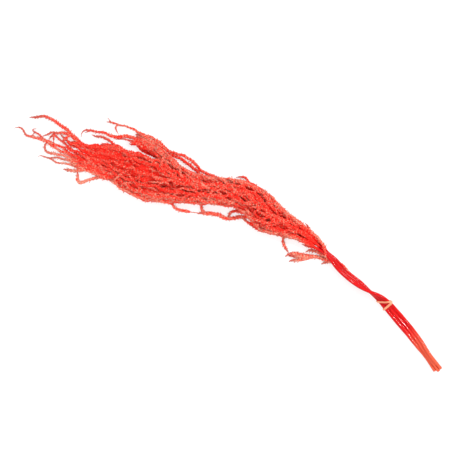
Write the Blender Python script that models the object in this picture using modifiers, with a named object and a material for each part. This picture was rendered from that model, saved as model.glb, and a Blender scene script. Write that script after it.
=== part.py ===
"""Bunch of three dried hanging amaranth stems with their seed heads, tied with a rubber band.

Metres, +Z up. The bunch lies on a table at z = 0. X runs along it from the tassel tips at -X to
the cut stem ends at +X, Y runs across it, and the origin is below the middle of the bunch.
Each plant is one solid: a stem that thins out into the axis of its head, and long tassels that
leave the axis, draw level with each other and run out to the tips. Florets stand on a tassel as
knobs, three to a ring, each ring turned half a step against the last.
"""

import math
import random

import bmesh
import bpy
import numpy as np

# Units and origin. The tables below are in millimetres. Along counts from the tassel tips to
# the cut ends, across from the side where the cut ends lie, up from the table.
MM = 0.001
ORIGIN_ALONG = 351.5
ORIGIN_ACROSS = 40.0
SEED = 11

# Stems
STEM_SIDES_RESOLUTION = 2
STEM_STEP = 14.5
STEM_RADII = ((700, 2.15), (600, 2.3), (480, 2.1), (440, 1.8), (380, 1.5), (300, 1.2), (240, 0.8))
STEM_CUTS = {"lower": 698.5, "middle": 700.0, "upper": 697.0}
STEM_PLACES = {"lower": 1, "middle": 0, "upper": -1}
STEM_END = 262.0
STEM_TILT = math.pi / 8
RIBBON_POINTS = 36
# A stem lies a little lower than its own radius, which presses its underside flat.
STEM_PRESS = 0.9

# The three stems lie side by side like a ribbon that turns over: along, middle across, turn in
# degrees, spacing of the stems.
RIBBON = (
    (700, 1.0, 22, 4.6),
    (675, 12.2, 52, 4.9),
    (650, 23.4, 15, 5.1),
    (635, 29.6, 2, 5.3),
    (618, 35.6, 0, 5.5),
    (600, 42.0, 8, 5.2),
    (588, 46.0, 24, 5.0),
    (575, 49.0, 52, 5.0),
    (560, 50.0, 88, 5.1),
    (540, 51.8, 128, 5.2),
    (520, 54.4, 134, 5.1),
    (502, 59.0, 138, 5.0),
    (490, 63.2, 128, 5.0),
    (480, 65.8, 114, 5.0),
)

# Axis of each head between the ribbon and the dense head: along, across, up.
AXES = {
    "lower": ((470, 65.2, 11.0), (455, 65.6, 9.8), (438, 65.6, 8.6), (420, 63.2, 8.4), (402, 58.6, 8.6)),
    "middle": ((470, 68.4, 6.4), (455, 71.0, 7.4), (438, 72.2, 8.4), (420, 71.8, 9.2), (402, 70.4, 10.0)),
    "upper": ((470, 71.0, 2.6), (455, 75.6, 4.0), (438, 79.0, 6.0), (420, 81.2, 7.6), (402, 82.4, 9.2)),
}

# Room of the heads: four edges across the heap, from its lower to its upper outline, and the
# heap's height.
EDGE_BOTTOM = (
    (470, 62), (450, 61.5), (430, 61), (410, 56), (390, 49.5), (370, 47.5), (352, 54.5), (330, 55.5),
    (310, 49.5), (290, 40.5), (270, 28), (250, 17), (230, 9), (210, 2), (190, -0.5), (170, 0),
    (150, -1), (130, -3), (110, -5), (90, -2), (70, -4), (50, -4),
)
EDGE_LOWER = (
    (470, 67.5), (450, 68.6), (430, 68), (410, 65), (390, 64.5), (370, 67), (350, 71.5), (330, 71.5),
    (310, 66), (290, 58), (270, 47.5), (250, 38.5), (230, 31), (210, 25), (190, 20.5), (170, 18),
    (150, 16), (130, 13.5), (110, 11.5), (90, 11), (70, 10.5), (50, 10),
)
EDGE_UPPER = (
    (470, 70), (450, 75), (430, 76), (410, 76.4), (390, 79), (370, 83), (350, 86.5), (330, 86.5),
    (310, 79.5), (290, 71.5), (270, 64.5), (250, 60), (230, 58), (210, 58.5), (190, 59), (170, 55.5),
    (150, 51.5), (130, 45), (110, 37.5), (90, 34), (70, 34), (50, 34),
)
EDGE_TOP = (
    (470, 76), (450, 80.5), (430, 85.5), (410, 87.5), (390, 92), (370, 99), (350, 101.5), (330, 101),
    (310, 92.5), (290, 84), (270, 78), (250, 76.5), (230, 77), (210, 76.5), (190, 76.5), (170, 78.5),
    (150, 72), (130, 66), (110, 60), (90, 56), (70, 54), (50, 54),
)
HEAP_HEIGHT = (
    (470, 14), (440, 19), (400, 25), (350, 29), (300, 28), (250, 26), (200, 22), (150, 16), (100, 11),
    (60, 6.5), (40, 5),
)
HEAP_SHOULDER = 0.42
HEAP_ROUNDING = 2.4
# The borders between the plants lean over by this slope; the outlines of the heap don't.
BORDER_LEAN = 0.32
EDGES = {
    "lower": ((EDGE_BOTTOM, 0), (EDGE_LOWER, BORDER_LEAN)),
    "middle": ((EDGE_LOWER, BORDER_LEAN), (EDGE_UPPER, BORDER_LEAN)),
    "upper": ((EDGE_UPPER, BORDER_LEAN), (EDGE_TOP, 0)),
}

# Tassels
TASSEL_RADIUS = 1.95
TASSEL_STEP = 6.5
TASSEL_WAVE = 1.5
TASSEL_MARGIN = 2.4
LEAVE_UP = 26.0
LEAVE_ASIDE = 30.0
ROOT_NEAR = 275.0
ROOT_SIDEWAYS = 165.0
ROOT_UPWARDS = 40.0
ROOT_FIRST = 448.0
ROOT_SCATTER = 14.0
POINT_SPACING = 24.0
WAVE_LENGTHS = (60.0, 95.0)
FLOW_SWING = 1.5
FLOW_LENGTH = 128.0
FLOW_SHIFT = 18.0
FLOW_ENDS = (80.0, 400.0)
FLOW_FADE = 60.0
AXIS_PLACE = (0.5, 0.42)
# A row of tassels is combed aside in waves, each row against the next.
COMB_SHARE = 0.75
COMB_LENGTH = 210.0
COMB_TURN = 2.3
COMB_FROM = 320.0
COMB_GROWTH = 70.0
# Rows of tassels from the table up, with the number side by side and where the row's tips lie.
ROWS = {
    "lower": ((3, 88), (2, 100), (3, 122), (2, 150)),
    "middle": ((4, 80), (3, 92), (4, 112), (3, 140)),
    "upper": ((3, 158), (2, 166), (3, 180), (2, 200)),
}
TIP_SCATTER = 26.0
STRAY_LEAD = 16.0
END_TASSEL_LEAD = 30.0
# Thickness: of one tassel against another, of one ring against the next, and along a tassel.
TASSEL_RANGE = (0.86, 1.05)
RING_RANGE = (0.92, 1.08)
SWELL_PLACES = (0.0, 0.12, 0.8, 1.0)
SWELL = (0.6, 1.0, 0.95, 0.4)
KNOBS = 3
WELD = 0.00001
SHARP_ANGLE = 75.0

# Tips that stray from the heap, placed by hand, as row and number of the tassel that runs out
# into them, then along, across, up of each point.
STRAY_TIPS = {
    "lower": {
        (0, 0): ((110, -6, 2.2), (98, -7.5, 2), (88, -9.5, 2), (78, -13, 2), (68, -15, 2), (60, -14.5, 2),
                 (55, -17, 2), (53, -20, 2)),
        (0, 1): ((76, 4, 2.4), (62, 4.5, 2), (52, 3.6, 2), (40, 2.5, 2), (32, 1, 2), (25, -1, 2),
                 (18, 1, 2), (10, 3.5, 2), (5, -1, 2)),
        (0, 2): ((78, 8.4, 2.4), (60, 8, 2), (46, 8, 2), (36, 8, 2), (29, 8, 2), (28, 11, 2), (31, 14, 2)),
        (1, 0): ((92, 1.5, 3.2), (80, -2, 2.2), (70, -5, 2), (62, -6.5, 2), (55, -5.5, 2), (52, -1, 2),
                 (51, 4, 2)),
        (2, 0): ((94, -2, 3), (82, -5, 2.2), (72, -8.6, 2), (65, -12, 2)),
    },
    "middle": {
        (0, 0): ((84, 15, 2.4), (70, 15, 2.2), (62, 16, 2), (56, 17.5, 2), (53, 14, 2), (53, 11, 2)),
        (0, 1): ((84, 21, 2.4), (72, 22.5, 2.2), (64, 21.5, 2), (57, 22.5, 2)),
        (0, 2): ((92, 29.5, 2.8), (78, 32, 2.4), (65, 35, 2.2), (55, 37.5, 2.2), (45, 38.5, 2.2),
                 (36, 37.5, 2.2), (28, 34, 2.2), (20, 29, 2.2), (13, 24, 2.2)),
        (1, 1): ((94, 24.5, 4), (84, 26.5, 3), (72, 28, 2), (63, 25.5, 2), (54, 20.5, 2), (49, 16, 2),
                 (45, 11.5, 2)),
        (1, 2): ((150, 43.5, 5), (140, 41.5, 3), (130, 38.5, 2), (122, 36, 2)),
        (0, 3): ((150, 48.4, 2.2), (140, 47, 2), (128, 48, 2), (118, 48.5, 2), (110, 47, 2), (104, 45, 2)),
    },
    "upper": {
        (2, 2): ((286, 82, 5), (272, 79.6, 3), (259, 80.5, 2), (250, 84, 2), (238, 85, 2), (228, 84.5, 2),
                 (218, 82, 2), (208, 81.5, 2), (192, 84, 2), (180, 85, 2), (168, 84, 2), (150, 82, 2),
                 (140, 80, 2), (126, 77, 2), (118, 76, 2), (111, 77.5, 2)),
        (0, 2): ((256, 76.5, 2.2), (243, 78.5, 2), (230, 79, 2), (219, 77.5, 2), (208, 76.5, 2),
                 (196, 78, 2), (182, 79.6, 2), (166, 78.5, 2), (154, 76.5, 2), (146, 73.5, 2)),
        (1, 1): ((200, 72.5, 4), (184, 73.6, 2.4), (170, 73.4, 2), (158, 71, 2), (146, 66, 2),
                 (136, 60, 2), (124, 57, 2), (112, 56, 2), (103, 53, 2), (95, 50, 2), (90.5, 44, 2),
                 (90, 38.5, 2), (92.5, 35, 2)),
        (0, 1): ((205, 66, 2.2), (190, 63.5, 2), (180, 63, 2), (170, 64.5, 2), (159, 63.5, 2),
                 (150, 61, 2), (140, 57.4, 2), (131, 54, 2)),
    },
}

# Short side tassels, stalks and stubs, placed by hand: thickness, then the points from a root
# inside the stem or another tassel.
SHOOTS = {
    "lower": (
        (1.5, ((45, 3, 2), (38, 5, 2), (32, 5.6, 2), (28, 8, 2))),
        (1.8, ((116, -4.6, 2.2), (107, -11.4, 2), (100, -14, 2), (93, -16, 2))),
        (1.8, ((146, 0.6, 2.2), (140, -3.5, 2), (136, -8, 2), (130, -15, 2), (124, -20.5, 2),
               (119, -20, 2), (115, -16, 2), (111, -10, 2))),
        (1.8, ((352, 57.4, 3), (343, 50, 2.4), (334, 42, 2), (324, 38.5, 2), (312, 37, 2), (305, 32, 2),
               (298, 28, 2), (290, 26, 2), (289, 22, 2))),
        (1.6, ((344, 51, 2.4), (339, 54.4, 2), (334, 53, 2), (331, 49, 2), (330, 44, 2))),
        (1.7, ((304, 31.6, 2), (295, 26, 2), (284, 21, 2), (273, 18, 2), (264, 14, 2), (256, 14.5, 2),
               (249, 18, 2), (241, 20, 3))),
        (2.1, ((430, 64.5, 8.4), (418, 60, 6), (405, 55, 4), (390, 51, 2.4), (376, 48, 2),
               (362, 46.5, 2))),
        (1.6, ((412, 58.2, 5), (412.6, 54, 2.4), (416, 50, 2), (420, 46, 2), (425, 42, 2), (431, 41, 2))),
        (1.9, ((488, 60, 9.8), (478, 57.2, 5), (470, 55, 2.4), (462, 52, 2), (455, 48.5, 2), (446, 48, 2),
               (438, 46, 2), (431, 41, 2), (430, 34, 2))),
        (1.9, ((457, 49.4, 2), (451, 44.5, 2), (446, 38, 2), (441, 33, 2), (438, 28, 2))),
        (1.6, ((478, 63.4, 10.8), (468, 61, 5), (460, 59.6, 2.4), (455, 58.5, 2), (452, 56, 2),
               (450, 52, 2))),
        (1.7, ((492, 58.6, 9.4), (485.5, 56.6, 5.6), (482, 53.6, 2.4), (479, 50, 2))),
    ),
    "middle": (),
    "upper": (
        (1.4, ((123, 76.6, 2), (117, 73.8, 2), (113, 70.5, 2))),
        (1.5, ((146, 81.4, 2), (138, 77, 2), (131, 74, 2), (129, 70, 2), (133, 67, 2), (139, 64.5, 2))),
        (1.3, ((101, 52.2, 2), (97, 47, 2), (95, 43, 2))),
        (1.8, ((352, 98.8, 10.4), (339, 100.8, 9.6), (327, 101, 7.6), (319, 100, 5.6), (313, 96.5, 4))),
        (1.6, ((452, 76.4, 5), (443, 81.4, 5), (435, 86.5, 4), (431, 89, 3))),
        (1.5, ((519, 57.6, 2.4), (512, 61, 2.2), (506, 63, 2.2), (501, 64, 2.2))),
    ),
}

# Rubber band: two loops of one band, flat in section, that share the upper side.
BAND_WIDTH = 3.0
BAND_THICKNESS = 1.1
BAND_CLEARANCE = 0.48
BAND_STEP_OUT = 0.3
BAND_LIFT = 2.28
BAND_LIFT_REACH = 34.0
BAND_PLACE = 583.0
BAND_ARC_POINTS = 9
BAND_FINE = 30.0
BAND_LOOPS = ((589.0, 575.5), (589.0, 590.6))

# Finishes: colour, roughness
FINISHES = {
    "lower": ("amaranth dyed coral red, deep", (0.80, 0.045, 0.030), 0.62),
    "middle": ("amaranth dyed coral red", (0.86, 0.075, 0.050), 0.62),
    "upper": ("amaranth dyed coral red, light", (0.88, 0.100, 0.070), 0.62),
    "band": ("cream orange rubber", (0.93, 0.42, 0.19), 0.5),
}


def clear_scene():
    for found in list(bpy.data.objects):
        bpy.data.objects.remove(found)


def new_collection(name, helper=False):
    made = bpy.data.collections.new(name)
    bpy.context.scene.collection.children.link(made)
    made.hide_render = helper
    return made


def finish(name):
    label, colour, roughness = FINISHES[name]
    made = bpy.data.materials.new(label)
    made.use_nodes = True
    shader = made.node_tree.nodes["Principled BSDF"]
    shader.inputs["Base Color"].default_value = (*colour, 1.0)
    shader.inputs["Roughness"].default_value = roughness
    shader.inputs["Metallic"].default_value = 0.0
    made.diffuse_color = (*colour, 1.0)
    return made


def read_off(stations, along, column=1):
    """Smooth value at a place along the bunch: a cubic through the stations with even slopes."""
    rows = np.array(sorted(stations), dtype=float)
    places = rows[:, 0]
    values = rows[:, column]
    slopes = np.gradient(values, places)
    along = np.clip(np.asarray(along, dtype=float), places[0], places[-1])
    left = np.clip(np.searchsorted(places, along) - 1, 0, len(places) - 2)
    width = places[left + 1] - places[left]
    t = (along - places[left]) / width
    return (
        (2 * t**3 - 3 * t**2 + 1) * values[left]
        + (t**3 - 2 * t**2 + t) * width * slopes[left]
        + (3 * t**2 - 2 * t**3) * values[left + 1]
        + (t**3 - t**2) * width * slopes[left + 1]
    )


def smooth_route(points, per_span=12):
    """Curve through the points, by the Catmull-Rom rule, as closely spaced points."""
    points = np.asarray(points, dtype=float)
    padded = np.vstack([2 * points[0] - points[1], points, 2 * points[-1] - points[-2]])
    t = np.linspace(0, 1, per_span, endpoint=False)[:, None]
    spans = []
    for a, b, c, d in zip(padded, padded[1:], padded[2:], padded[3:]):
        spans.append(0.5 * (2 * b + (c - a) * t + (2 * a - 5 * b + 4 * c - d) * t**2
                            + (3 * b - a - 3 * c + d) * t**3))
    return np.vstack([*spans, points[-1:]])


def evenly_spaced(route, step):
    """The same curve with its points about one step apart."""
    lengths = np.concatenate([[0], np.cumsum(np.linalg.norm(np.diff(route, axis=0), axis=1))])
    count = max(3, round(lengths[-1] / step) + 1)
    marks = np.linspace(0, lengths[-1], count)
    return np.column_stack([np.interp(marks, lengths, route[:, axis]) for axis in range(3)])


def unit(vector):
    return vector / np.linalg.norm(vector)


def in_metres(points):
    return (np.asarray(points) - (ORIGIN_ALONG, ORIGIN_ACROSS, 0)) * MM


def profile_curve(name, corners, helpers):
    """Closed outline in millimetres that a tube carries along its route."""
    curve = bpy.data.curves.new(name, "CURVE")
    curve.dimensions = "2D"
    spline = curve.splines.new("POLY")
    spline.points.add(len(corners) - 1)
    for point, (x, y) in zip(spline.points, corners):
        point.co = (x * MM, y * MM, 0, 1)
    spline.use_cyclic_u = True
    made = bpy.data.objects.new(name, curve)
    helpers.objects.link(made)
    return made


def tube(name, points, radii, tilts, collection, profile=None):
    """Mesh of a tube along the points, with filled ends, resting no lower than the table."""
    curve = bpy.data.curves.new(name, "CURVE")
    curve.dimensions = "3D"
    if profile is None:
        curve.bevel_depth = MM
        curve.bevel_resolution = STEM_SIDES_RESOLUTION
        curve.twist_mode = "Z_UP"
    else:
        curve.bevel_mode = "OBJECT"
        curve.bevel_object = profile
    curve.use_fill_caps = True
    spline = curve.splines.new("POLY")
    spline.points.add(len(points) - 1)
    for number, place in enumerate(in_metres(points)):
        spline.points[number].co = (*place, 1)
        spline.points[number].radius = radii[number]
        spline.points[number].tilt = tilts[number]
    guide = bpy.data.objects.new(name + " route", curve)
    collection.objects.link(guide)
    graph = bpy.context.evaluated_depsgraph_get()
    mesh = bpy.data.meshes.new_from_object(guide.evaluated_get(graph))
    made = bpy.data.objects.new(name, mesh)
    made.matrix_world = guide.matrix_world
    bpy.data.objects.remove(guide)
    collection.objects.link(made)
    weld_and_level(mesh)
    return made


def weld_and_level(mesh):
    """Welds the caps on, turns the faces outwards and presses the underside flat on the table."""
    work = bmesh.new()
    work.from_mesh(mesh)
    bmesh.ops.remove_doubles(work, verts=work.verts, dist=WELD)
    for vertex in work.verts:
        vertex.co.z = max(vertex.co.z, 0.0)
    bmesh.ops.triangulate(work, faces=work.faces, quad_method="SHORT_EDGE")
    bmesh.ops.recalc_face_normals(work, faces=work.faces)
    work.to_mesh(mesh)
    work.free()


def stem_route(name):
    """Middle line of one stem: its place in the ribbon, then its own axis through the head."""
    marks = np.linspace(STEM_CUTS[name], RIBBON[-1][0], RIBBON_POINTS)
    ribbon = [ribbon_point(mark, STEM_PLACES[name]) for mark in marks]
    inner = np.arange(AXES[name][-1][0] - POINT_SPACING, STEM_END, -POINT_SPACING)
    inner = [room_point(name, mark, *AXIS_PLACE) for mark in (*inner, STEM_END)]
    route = evenly_spaced(smooth_route([*ribbon, *AXES[name], *inner]), STEM_STEP / 2)
    near_band = np.abs(route[:, 0] - BAND_PLACE) < BAND_FINE
    return route[near_band | (np.arange(len(route)) % 2 == 0)]


def ribbon_point(along, place):
    """Centre of one stem: stepped sideways and up from the ribbon's middle by its turn."""
    middle = read_off(RIBBON, along, 1)
    turn = math.radians(read_off(RIBBON, along, 2))
    spacing = read_off(RIBBON, along, 3)
    slope = read_off(RIBBON, along + 1, 1) - middle
    across = place * spacing * math.cos(turn) / math.hypot(1, slope)
    rest = STEM_PRESS * read_off(STEM_RADII, along) + band_lift(along)
    above = spacing * (abs(math.sin(turn)) + place * math.sin(turn))
    return (along - slope * across, middle + across, rest + above)


def band_lift(along):
    """The stems ride over the band, which passes under them."""
    return BAND_LIFT * math.exp(-(((along - BAND_PLACE) / BAND_LIFT_REACH) ** 2))


def room_point(name, along, sideways, upwards):
    """Point in a plant's share of the heap, from two shares of its width and height."""
    lean = read_off(HEAP_HEIGHT, along) * (upwards - 0.5)
    low, high = (read_off(edge, along) + slope * lean for edge, slope in EDGES[name])
    across = low + TASSEL_MARGIN + max(high - low - 2 * TASSEL_MARGIN, 0) * sideways
    bottom, top = read_off(EDGE_BOTTOM, along), read_off(EDGE_TOP, along)
    share = min(abs(2 * (across - bottom) / (top - bottom) - 1), 1)
    height = read_off(HEAP_HEIGHT, along) * (1 - HEAP_SHOULDER * share**HEAP_ROUNDING)
    swing = FLOW_SWING * math.sin(2 * math.pi * along / FLOW_LENGTH + across / FLOW_SHIFT)
    return (
        along,
        across + swing * flow_window(along),
        TASSEL_RADIUS + max(height - 2 * TASSEL_RADIUS, 0) * upwards,
    )


def flow_window(along):
    """Lets the sideways flow of the heap die out at its two ends."""
    low, high = FLOW_ENDS
    return float(np.clip(min(along - low, high - along) / FLOW_FADE, 0, 1))


def tassel_points(name, sideways, upwards, root, tip, draw, stray=()):
    """Route of a tassel: out of the head's axis at its root, then level with it to its tip."""
    phase = draw.uniform(0, 2 * math.pi)
    length = draw.uniform(*WAVE_LENGTHS)
    wave = TASSEL_WAVE * 4 * sideways * (1 - sideways)
    leave = LEAVE_UP + LEAVE_ASIDE * abs(2 * (sideways - AXIS_PLACE[0]))
    if stray:
        tip = stray[0][0] + STRAY_LEAD
    points = []
    for mark in (*np.arange(root, tip + POINT_SPACING / 2, -POINT_SPACING), tip):
        reach = min((root - mark) / leave, 1)
        reach = reach * reach * (3 - 2 * reach)
        axis = np.array(axis_point(name, mark))
        lane = np.array(room_point(name, mark, combed(sideways, upwards, mark), upwards))
        aside = wave * reach * math.sin(2 * math.pi * mark / length + phase)
        points.append(axis + (lane - axis) * reach + (0, aside, 0))
    return [*points, *stray]


def combed(sideways, upwards, along):
    """Share of the width after the row's waves, which leave the two borders where they are."""
    swing = math.sin(2 * math.pi * (along / COMB_LENGTH + COMB_TURN * upwards))
    share = COMB_SHARE * float(np.clip((COMB_FROM - along) / COMB_GROWTH, 0, 1))
    return sideways + share * swing * sideways * (1 - sideways)


def axis_point(name, along):
    """The head's axis where it is still placed by hand, and its share of the heap after that."""
    first = AXES[name][-1][0]
    if along < first:
        return room_point(name, along, *AXIS_PLACE)
    return (along, read_off(AXES[name], along, 1), read_off(AXES[name], along, 2))


def tassel(label, points, thickness, profile, collection, draw):
    """Knobbly tube: three knobs to a ring, alternate rings turned by half a step."""
    route = evenly_spaced(smooth_route(points), TASSEL_STEP)
    count = len(route)
    share = np.linspace(0, 1, count)
    swell = np.interp(share, SWELL_PLACES, SWELL)
    radii = [thickness * swell[n] * draw.uniform(*RING_RANGE) for n in range(count)]
    tilts = [math.pi / KNOBS * (n % 2) for n in range(count)]
    return tube(label, route, radii, tilts, collection, profile)


def lanes(name, draw):
    """Places of a plant's tassels in its share of the heap, with their roots and tips."""
    for row, (count, tips) in enumerate(ROWS[name]):
        upwards = row / (len(ROWS[name]) - 1)
        for number in range(count):
            sideways = (number + 0.5) / count if row % 2 else number / (count - 1)
            aside = abs(2 * (sideways - AXIS_PLACE[0]))
            above = abs(upwards - AXIS_PLACE[1])
            root = ROOT_NEAR + ROOT_SIDEWAYS * aside + ROOT_UPWARDS * above
            root = min(root - draw.uniform(0, ROOT_SCATTER), ROOT_FIRST)
            tip = tips + draw.uniform(-0.5, 0.5) * TIP_SCATTER
            yield sideways, upwards, root, tip, STRAY_TIPS[name].get((row, number), ())


def plant(name, home, profile):
    """One stem with its seed head, joined into one solid."""
    draw = random.Random(SEED + STEM_PLACES[name])
    route = stem_route(name)
    radii = read_off(STEM_RADII, route[:, 0])
    stem = tube("amaranth_" + name, route, radii, [STEM_TILT] * len(route), home)
    twigs = new_collection(name + " tassels", helper=True)
    for number, (sideways, upwards, root, tip, stray) in enumerate(lanes(name, draw)):
        points = tassel_points(name, sideways, upwards, root, tip, draw, stray)
        thickness = TASSEL_RADIUS * draw.uniform(*TASSEL_RANGE)
        tassel(f"{name} tassel {number}", points, thickness, profile, twigs, draw)
    root = STEM_END + END_TASSEL_LEAD
    middle = tassel_points(name, *AXIS_PLACE, root, ROWS[name][0][1], draw)
    tassel(f"{name} end tassel", middle, TASSEL_RADIUS, profile, twigs, draw)
    for number, (thickness, points) in enumerate(SHOOTS[name]):
        tassel(f"{name} shoot {number}", points, thickness, profile, twigs, draw)
    join(stem, twigs)
    stem.data.materials.clear()
    stem.data.materials.append(finish(name))
    return stem


def join(body, others):
    """Union of the body with every object in the collection, which is then removed."""
    union = body.modifiers.new("join", "BOOLEAN")
    union.operation = "UNION"
    union.operand_type = "COLLECTION"
    union.collection = others
    union.solver = "EXACT"
    graph = bpy.context.evaluated_depsgraph_get()
    mesh = bpy.data.meshes.new_from_object(body.evaluated_get(graph))
    body.modifiers.clear()
    body.data = mesh
    for found in list(others.objects):
        bpy.data.objects.remove(found)
    bpy.data.collections.remove(others)
    keep_main_body(mesh)
    mesh.shade_smooth()
    mesh.set_sharp_from_angle(angle=math.radians(SHARP_ANGLE))


def keep_main_body(mesh):
    """Drops loose scraps and the walls of sealed hollows, which leaves the largest body."""
    work = bmesh.new()
    work.from_mesh(mesh)
    unseen = set(work.faces)
    bodies = []
    while unseen:
        body = [unseen.pop()]
        for face in body:
            for edge in face.edges:
                fresh = [near for near in edge.link_faces if near in unseen]
                unseen.difference_update(fresh)
                body.extend(fresh)
        bodies.append(body)
    bodies.sort(key=len)
    spare = [face for body in bodies[:-1] for face in body]
    bmesh.ops.delete(work, geom=spare, context="FACES")
    work.to_mesh(mesh)
    work.free()


def band_route(upper, lower, clearance):
    """Flat slanting loop round the ribbon of stems, with the stems' direction at each point."""
    reach = read_off(STEM_RADII, BAND_PLACE) + clearance
    middle, swing = (upper + lower) / 2, (upper - lower) / 2
    middle_turn = math.radians(read_off(RIBBON, middle, 2))
    step = read_off(RIBBON, middle, 3) * math.cos(middle_turn)
    half = np.linspace(-math.pi / 2, math.pi / 2, BAND_ARC_POINTS)
    stations = [(1, angle) for angle in half] + [(0, math.pi / 2)]
    stations += [(-1, angle + math.pi) for angle in half] + [(0, -math.pi / 2)]
    points, directions = [], []
    for place, angle in stations:
        sideways = place * step + reach * math.cos(angle + middle_turn)
        along = middle + swing * sideways / (step + reach)
        turn = angle + math.radians(read_off(RIBBON, along, 2))
        direction = unit(np.subtract(ribbon_point(along + 1, place), ribbon_point(along - 1, place)))
        aside = unit(np.cross((0, 0, 1), direction))
        above = np.cross(direction, aside)
        outwards = math.cos(turn) * aside + math.sin(turn) * above
        points.append(ribbon_point(along, place) + reach * outwards)
        directions.append(direction)
    return np.array(points), np.array(directions)


def band_loop(name, upper, lower, clearance, collection):
    """One turn of the band: a strip as wide as the band along its route, thickened outwards."""
    points, directions = band_route(upper, lower, clearance)
    count = len(points)
    rims = [*(points - directions * BAND_WIDTH / 2), *(points + directions * BAND_WIDTH / 2)]
    after = [(number + 1) % count for number in range(count)]
    strip = [(here, there, there + count, here + count) for here, there in enumerate(after)]
    mesh = bpy.data.meshes.new(name)
    mesh.from_pydata(in_metres(rims), [], strip)
    made = bpy.data.objects.new(name, mesh)
    collection.objects.link(made)
    wall = made.modifiers.new("thickness", "SOLIDIFY")
    wall.thickness = BAND_THICKNESS * MM
    wall.offset = 1
    wall.use_even_offset = True
    return made


def rubber_band(home):
    """The band, wound round twice: the second turn lies a little over the first."""
    turns = new_collection("band turns", helper=True)
    band = band_loop("rubber_band", *BAND_LOOPS[0], BAND_CLEARANCE, home)
    band_loop("second turn", *BAND_LOOPS[1], BAND_CLEARANCE + BAND_STEP_OUT, turns)
    join(band, turns)
    band.data.materials.clear()
    band.data.materials.append(finish("band"))
    return band


def main():
    clear_scene()
    home = new_collection("Tied amaranth bunch")
    helpers = new_collection("Helpers", helper=True)
    turns = [2 * math.pi * number / KNOBS for number in range(KNOBS)]
    corners = [(math.cos(turn), math.sin(turn)) for turn in turns]
    knobs = profile_curve("ring of knobs", corners, helpers)
    for name in STEM_PLACES:
        plant(name, home, knobs)
    rubber_band(home)
    for helper in helpers.objects:
        helper.hide_render = True
        helper.display_type = "WIRE"


main()
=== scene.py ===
"""Looks for a tied bunch of three dried hanging amaranth stems, dip dyed coral red.

Lengths in the finished pieces are in metres and +Z is up. The bunch lies on a table at z = 0,
with the tassel tips towards -X and the cut stem ends towards +X. The tables of routes are in
millimetres: along the bunch, across it and up from the table. They follow the same rules as
the solids, so that each finished piece lies where its solid lies.
"""

import logging
import math
import random
from collections.abc import Iterator, Sequence
from dataclasses import dataclass, field
from enum import Enum
from typing import Any

import bpy
import numpy as np
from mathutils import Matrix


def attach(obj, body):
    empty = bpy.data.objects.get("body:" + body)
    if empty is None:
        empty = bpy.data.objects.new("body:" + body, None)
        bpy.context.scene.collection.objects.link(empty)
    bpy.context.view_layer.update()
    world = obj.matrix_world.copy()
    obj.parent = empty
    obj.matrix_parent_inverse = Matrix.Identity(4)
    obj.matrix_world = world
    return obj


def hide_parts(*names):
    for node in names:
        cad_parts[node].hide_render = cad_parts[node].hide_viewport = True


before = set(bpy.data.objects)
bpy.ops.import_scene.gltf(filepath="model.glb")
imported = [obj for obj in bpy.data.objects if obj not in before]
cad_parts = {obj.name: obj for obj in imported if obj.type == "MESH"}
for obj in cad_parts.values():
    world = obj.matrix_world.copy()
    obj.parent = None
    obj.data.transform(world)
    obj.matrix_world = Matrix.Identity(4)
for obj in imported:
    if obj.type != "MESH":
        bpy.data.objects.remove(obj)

LOG = logging.getLogger("amaranth bunch")
MM = 0.001
ORIGIN = np.array([351.5, 40.0, 0.0])
UP = np.array([0.0, 0.0, 1.0])
SEED = 11
EXTRA_SEED, FLORET_SEED, HEART_SEED = 40, 80, 120

Array = np.ndarray
Pair = tuple[float, float]
Stations = Sequence[tuple[float, ...]]


class Seat(Enum):
    """One of the three plants, valued by its place across the ribbon of stems."""

    LOWER = 1
    MIDDLE = 0
    UPPER = -1

    @property
    def word(self) -> str:
        """The plant's name as the pieces use it."""
        return self.name.lower()


# Routes


def read_off(stations: Stations, along: Array | float, column: int = 1) -> Array:
    """Smooth value at places along the bunch.

    A cubic runs through the stations, and its slope at each is the one between its neighbours.

    Args:
        stations: rows of a place along the bunch and the values there.
        along: one place or many, in millimetres.
        column: which value of the rows to read.

    Returns:
        The value at each place.
    """
    rows = np.array(sorted(stations), dtype=float)
    places, values = rows[:, 0], rows[:, column]
    slopes = np.gradient(values, places)
    along = np.clip(np.asarray(along, dtype=float), places[0], places[-1])
    left = np.clip(np.searchsorted(places, along) - 1, 0, len(places) - 2)
    width = places[left + 1] - places[left]
    t = (along - places[left]) / width
    return (
        (2 * t**3 - 3 * t**2 + 1) * values[left]
        + (t**3 - 2 * t**2 + t) * width * slopes[left]
        + (3 * t**2 - 2 * t**3) * values[left + 1]
        + (t**3 - t**2) * width * slopes[left + 1]
    )


def smooth_route(points: Array, per_span: int = 12) -> Array:
    """Curve through the points by the Catmull-Rom rule: each span leans on its two neighbours.

    Args:
        points: the points to pass through, one to a row.
        per_span: how many points each span gets.

    Returns:
        The curve's points.
    """
    points = np.asarray(points, dtype=float)
    padded = np.vstack([2 * points[0] - points[1], points, 2 * points[-1] - points[-2]])
    a, b, c, d = (padded[n : len(padded) - 3 + n, None, :] for n in range(4))
    t = np.linspace(0, 1, per_span, endpoint=False)[None, :, None]
    spans = 0.5 * (
        2 * b
        + (c - a) * t
        + (2 * a - 5 * b + 4 * c - d) * t**2
        + (3 * b - a - 3 * c + d) * t**3
    )
    return np.vstack([spans.reshape(-1, points.shape[1]), points[-1:]])


def evenly_spaced(route: Array, step: float) -> Array:
    """The same curve with its points about one step apart, measured along it.

    Args:
        route: the curve's points.
        step: the distance wanted between two points, in millimetres.

    Returns:
        The new points, at least three.
    """
    lengths = lengths_along(route)
    count = max(3, round(lengths[-1] / step) + 1)
    marks = np.linspace(0, lengths[-1], count)
    return np.column_stack([np.interp(marks, lengths, column) for column in route.T])


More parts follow.
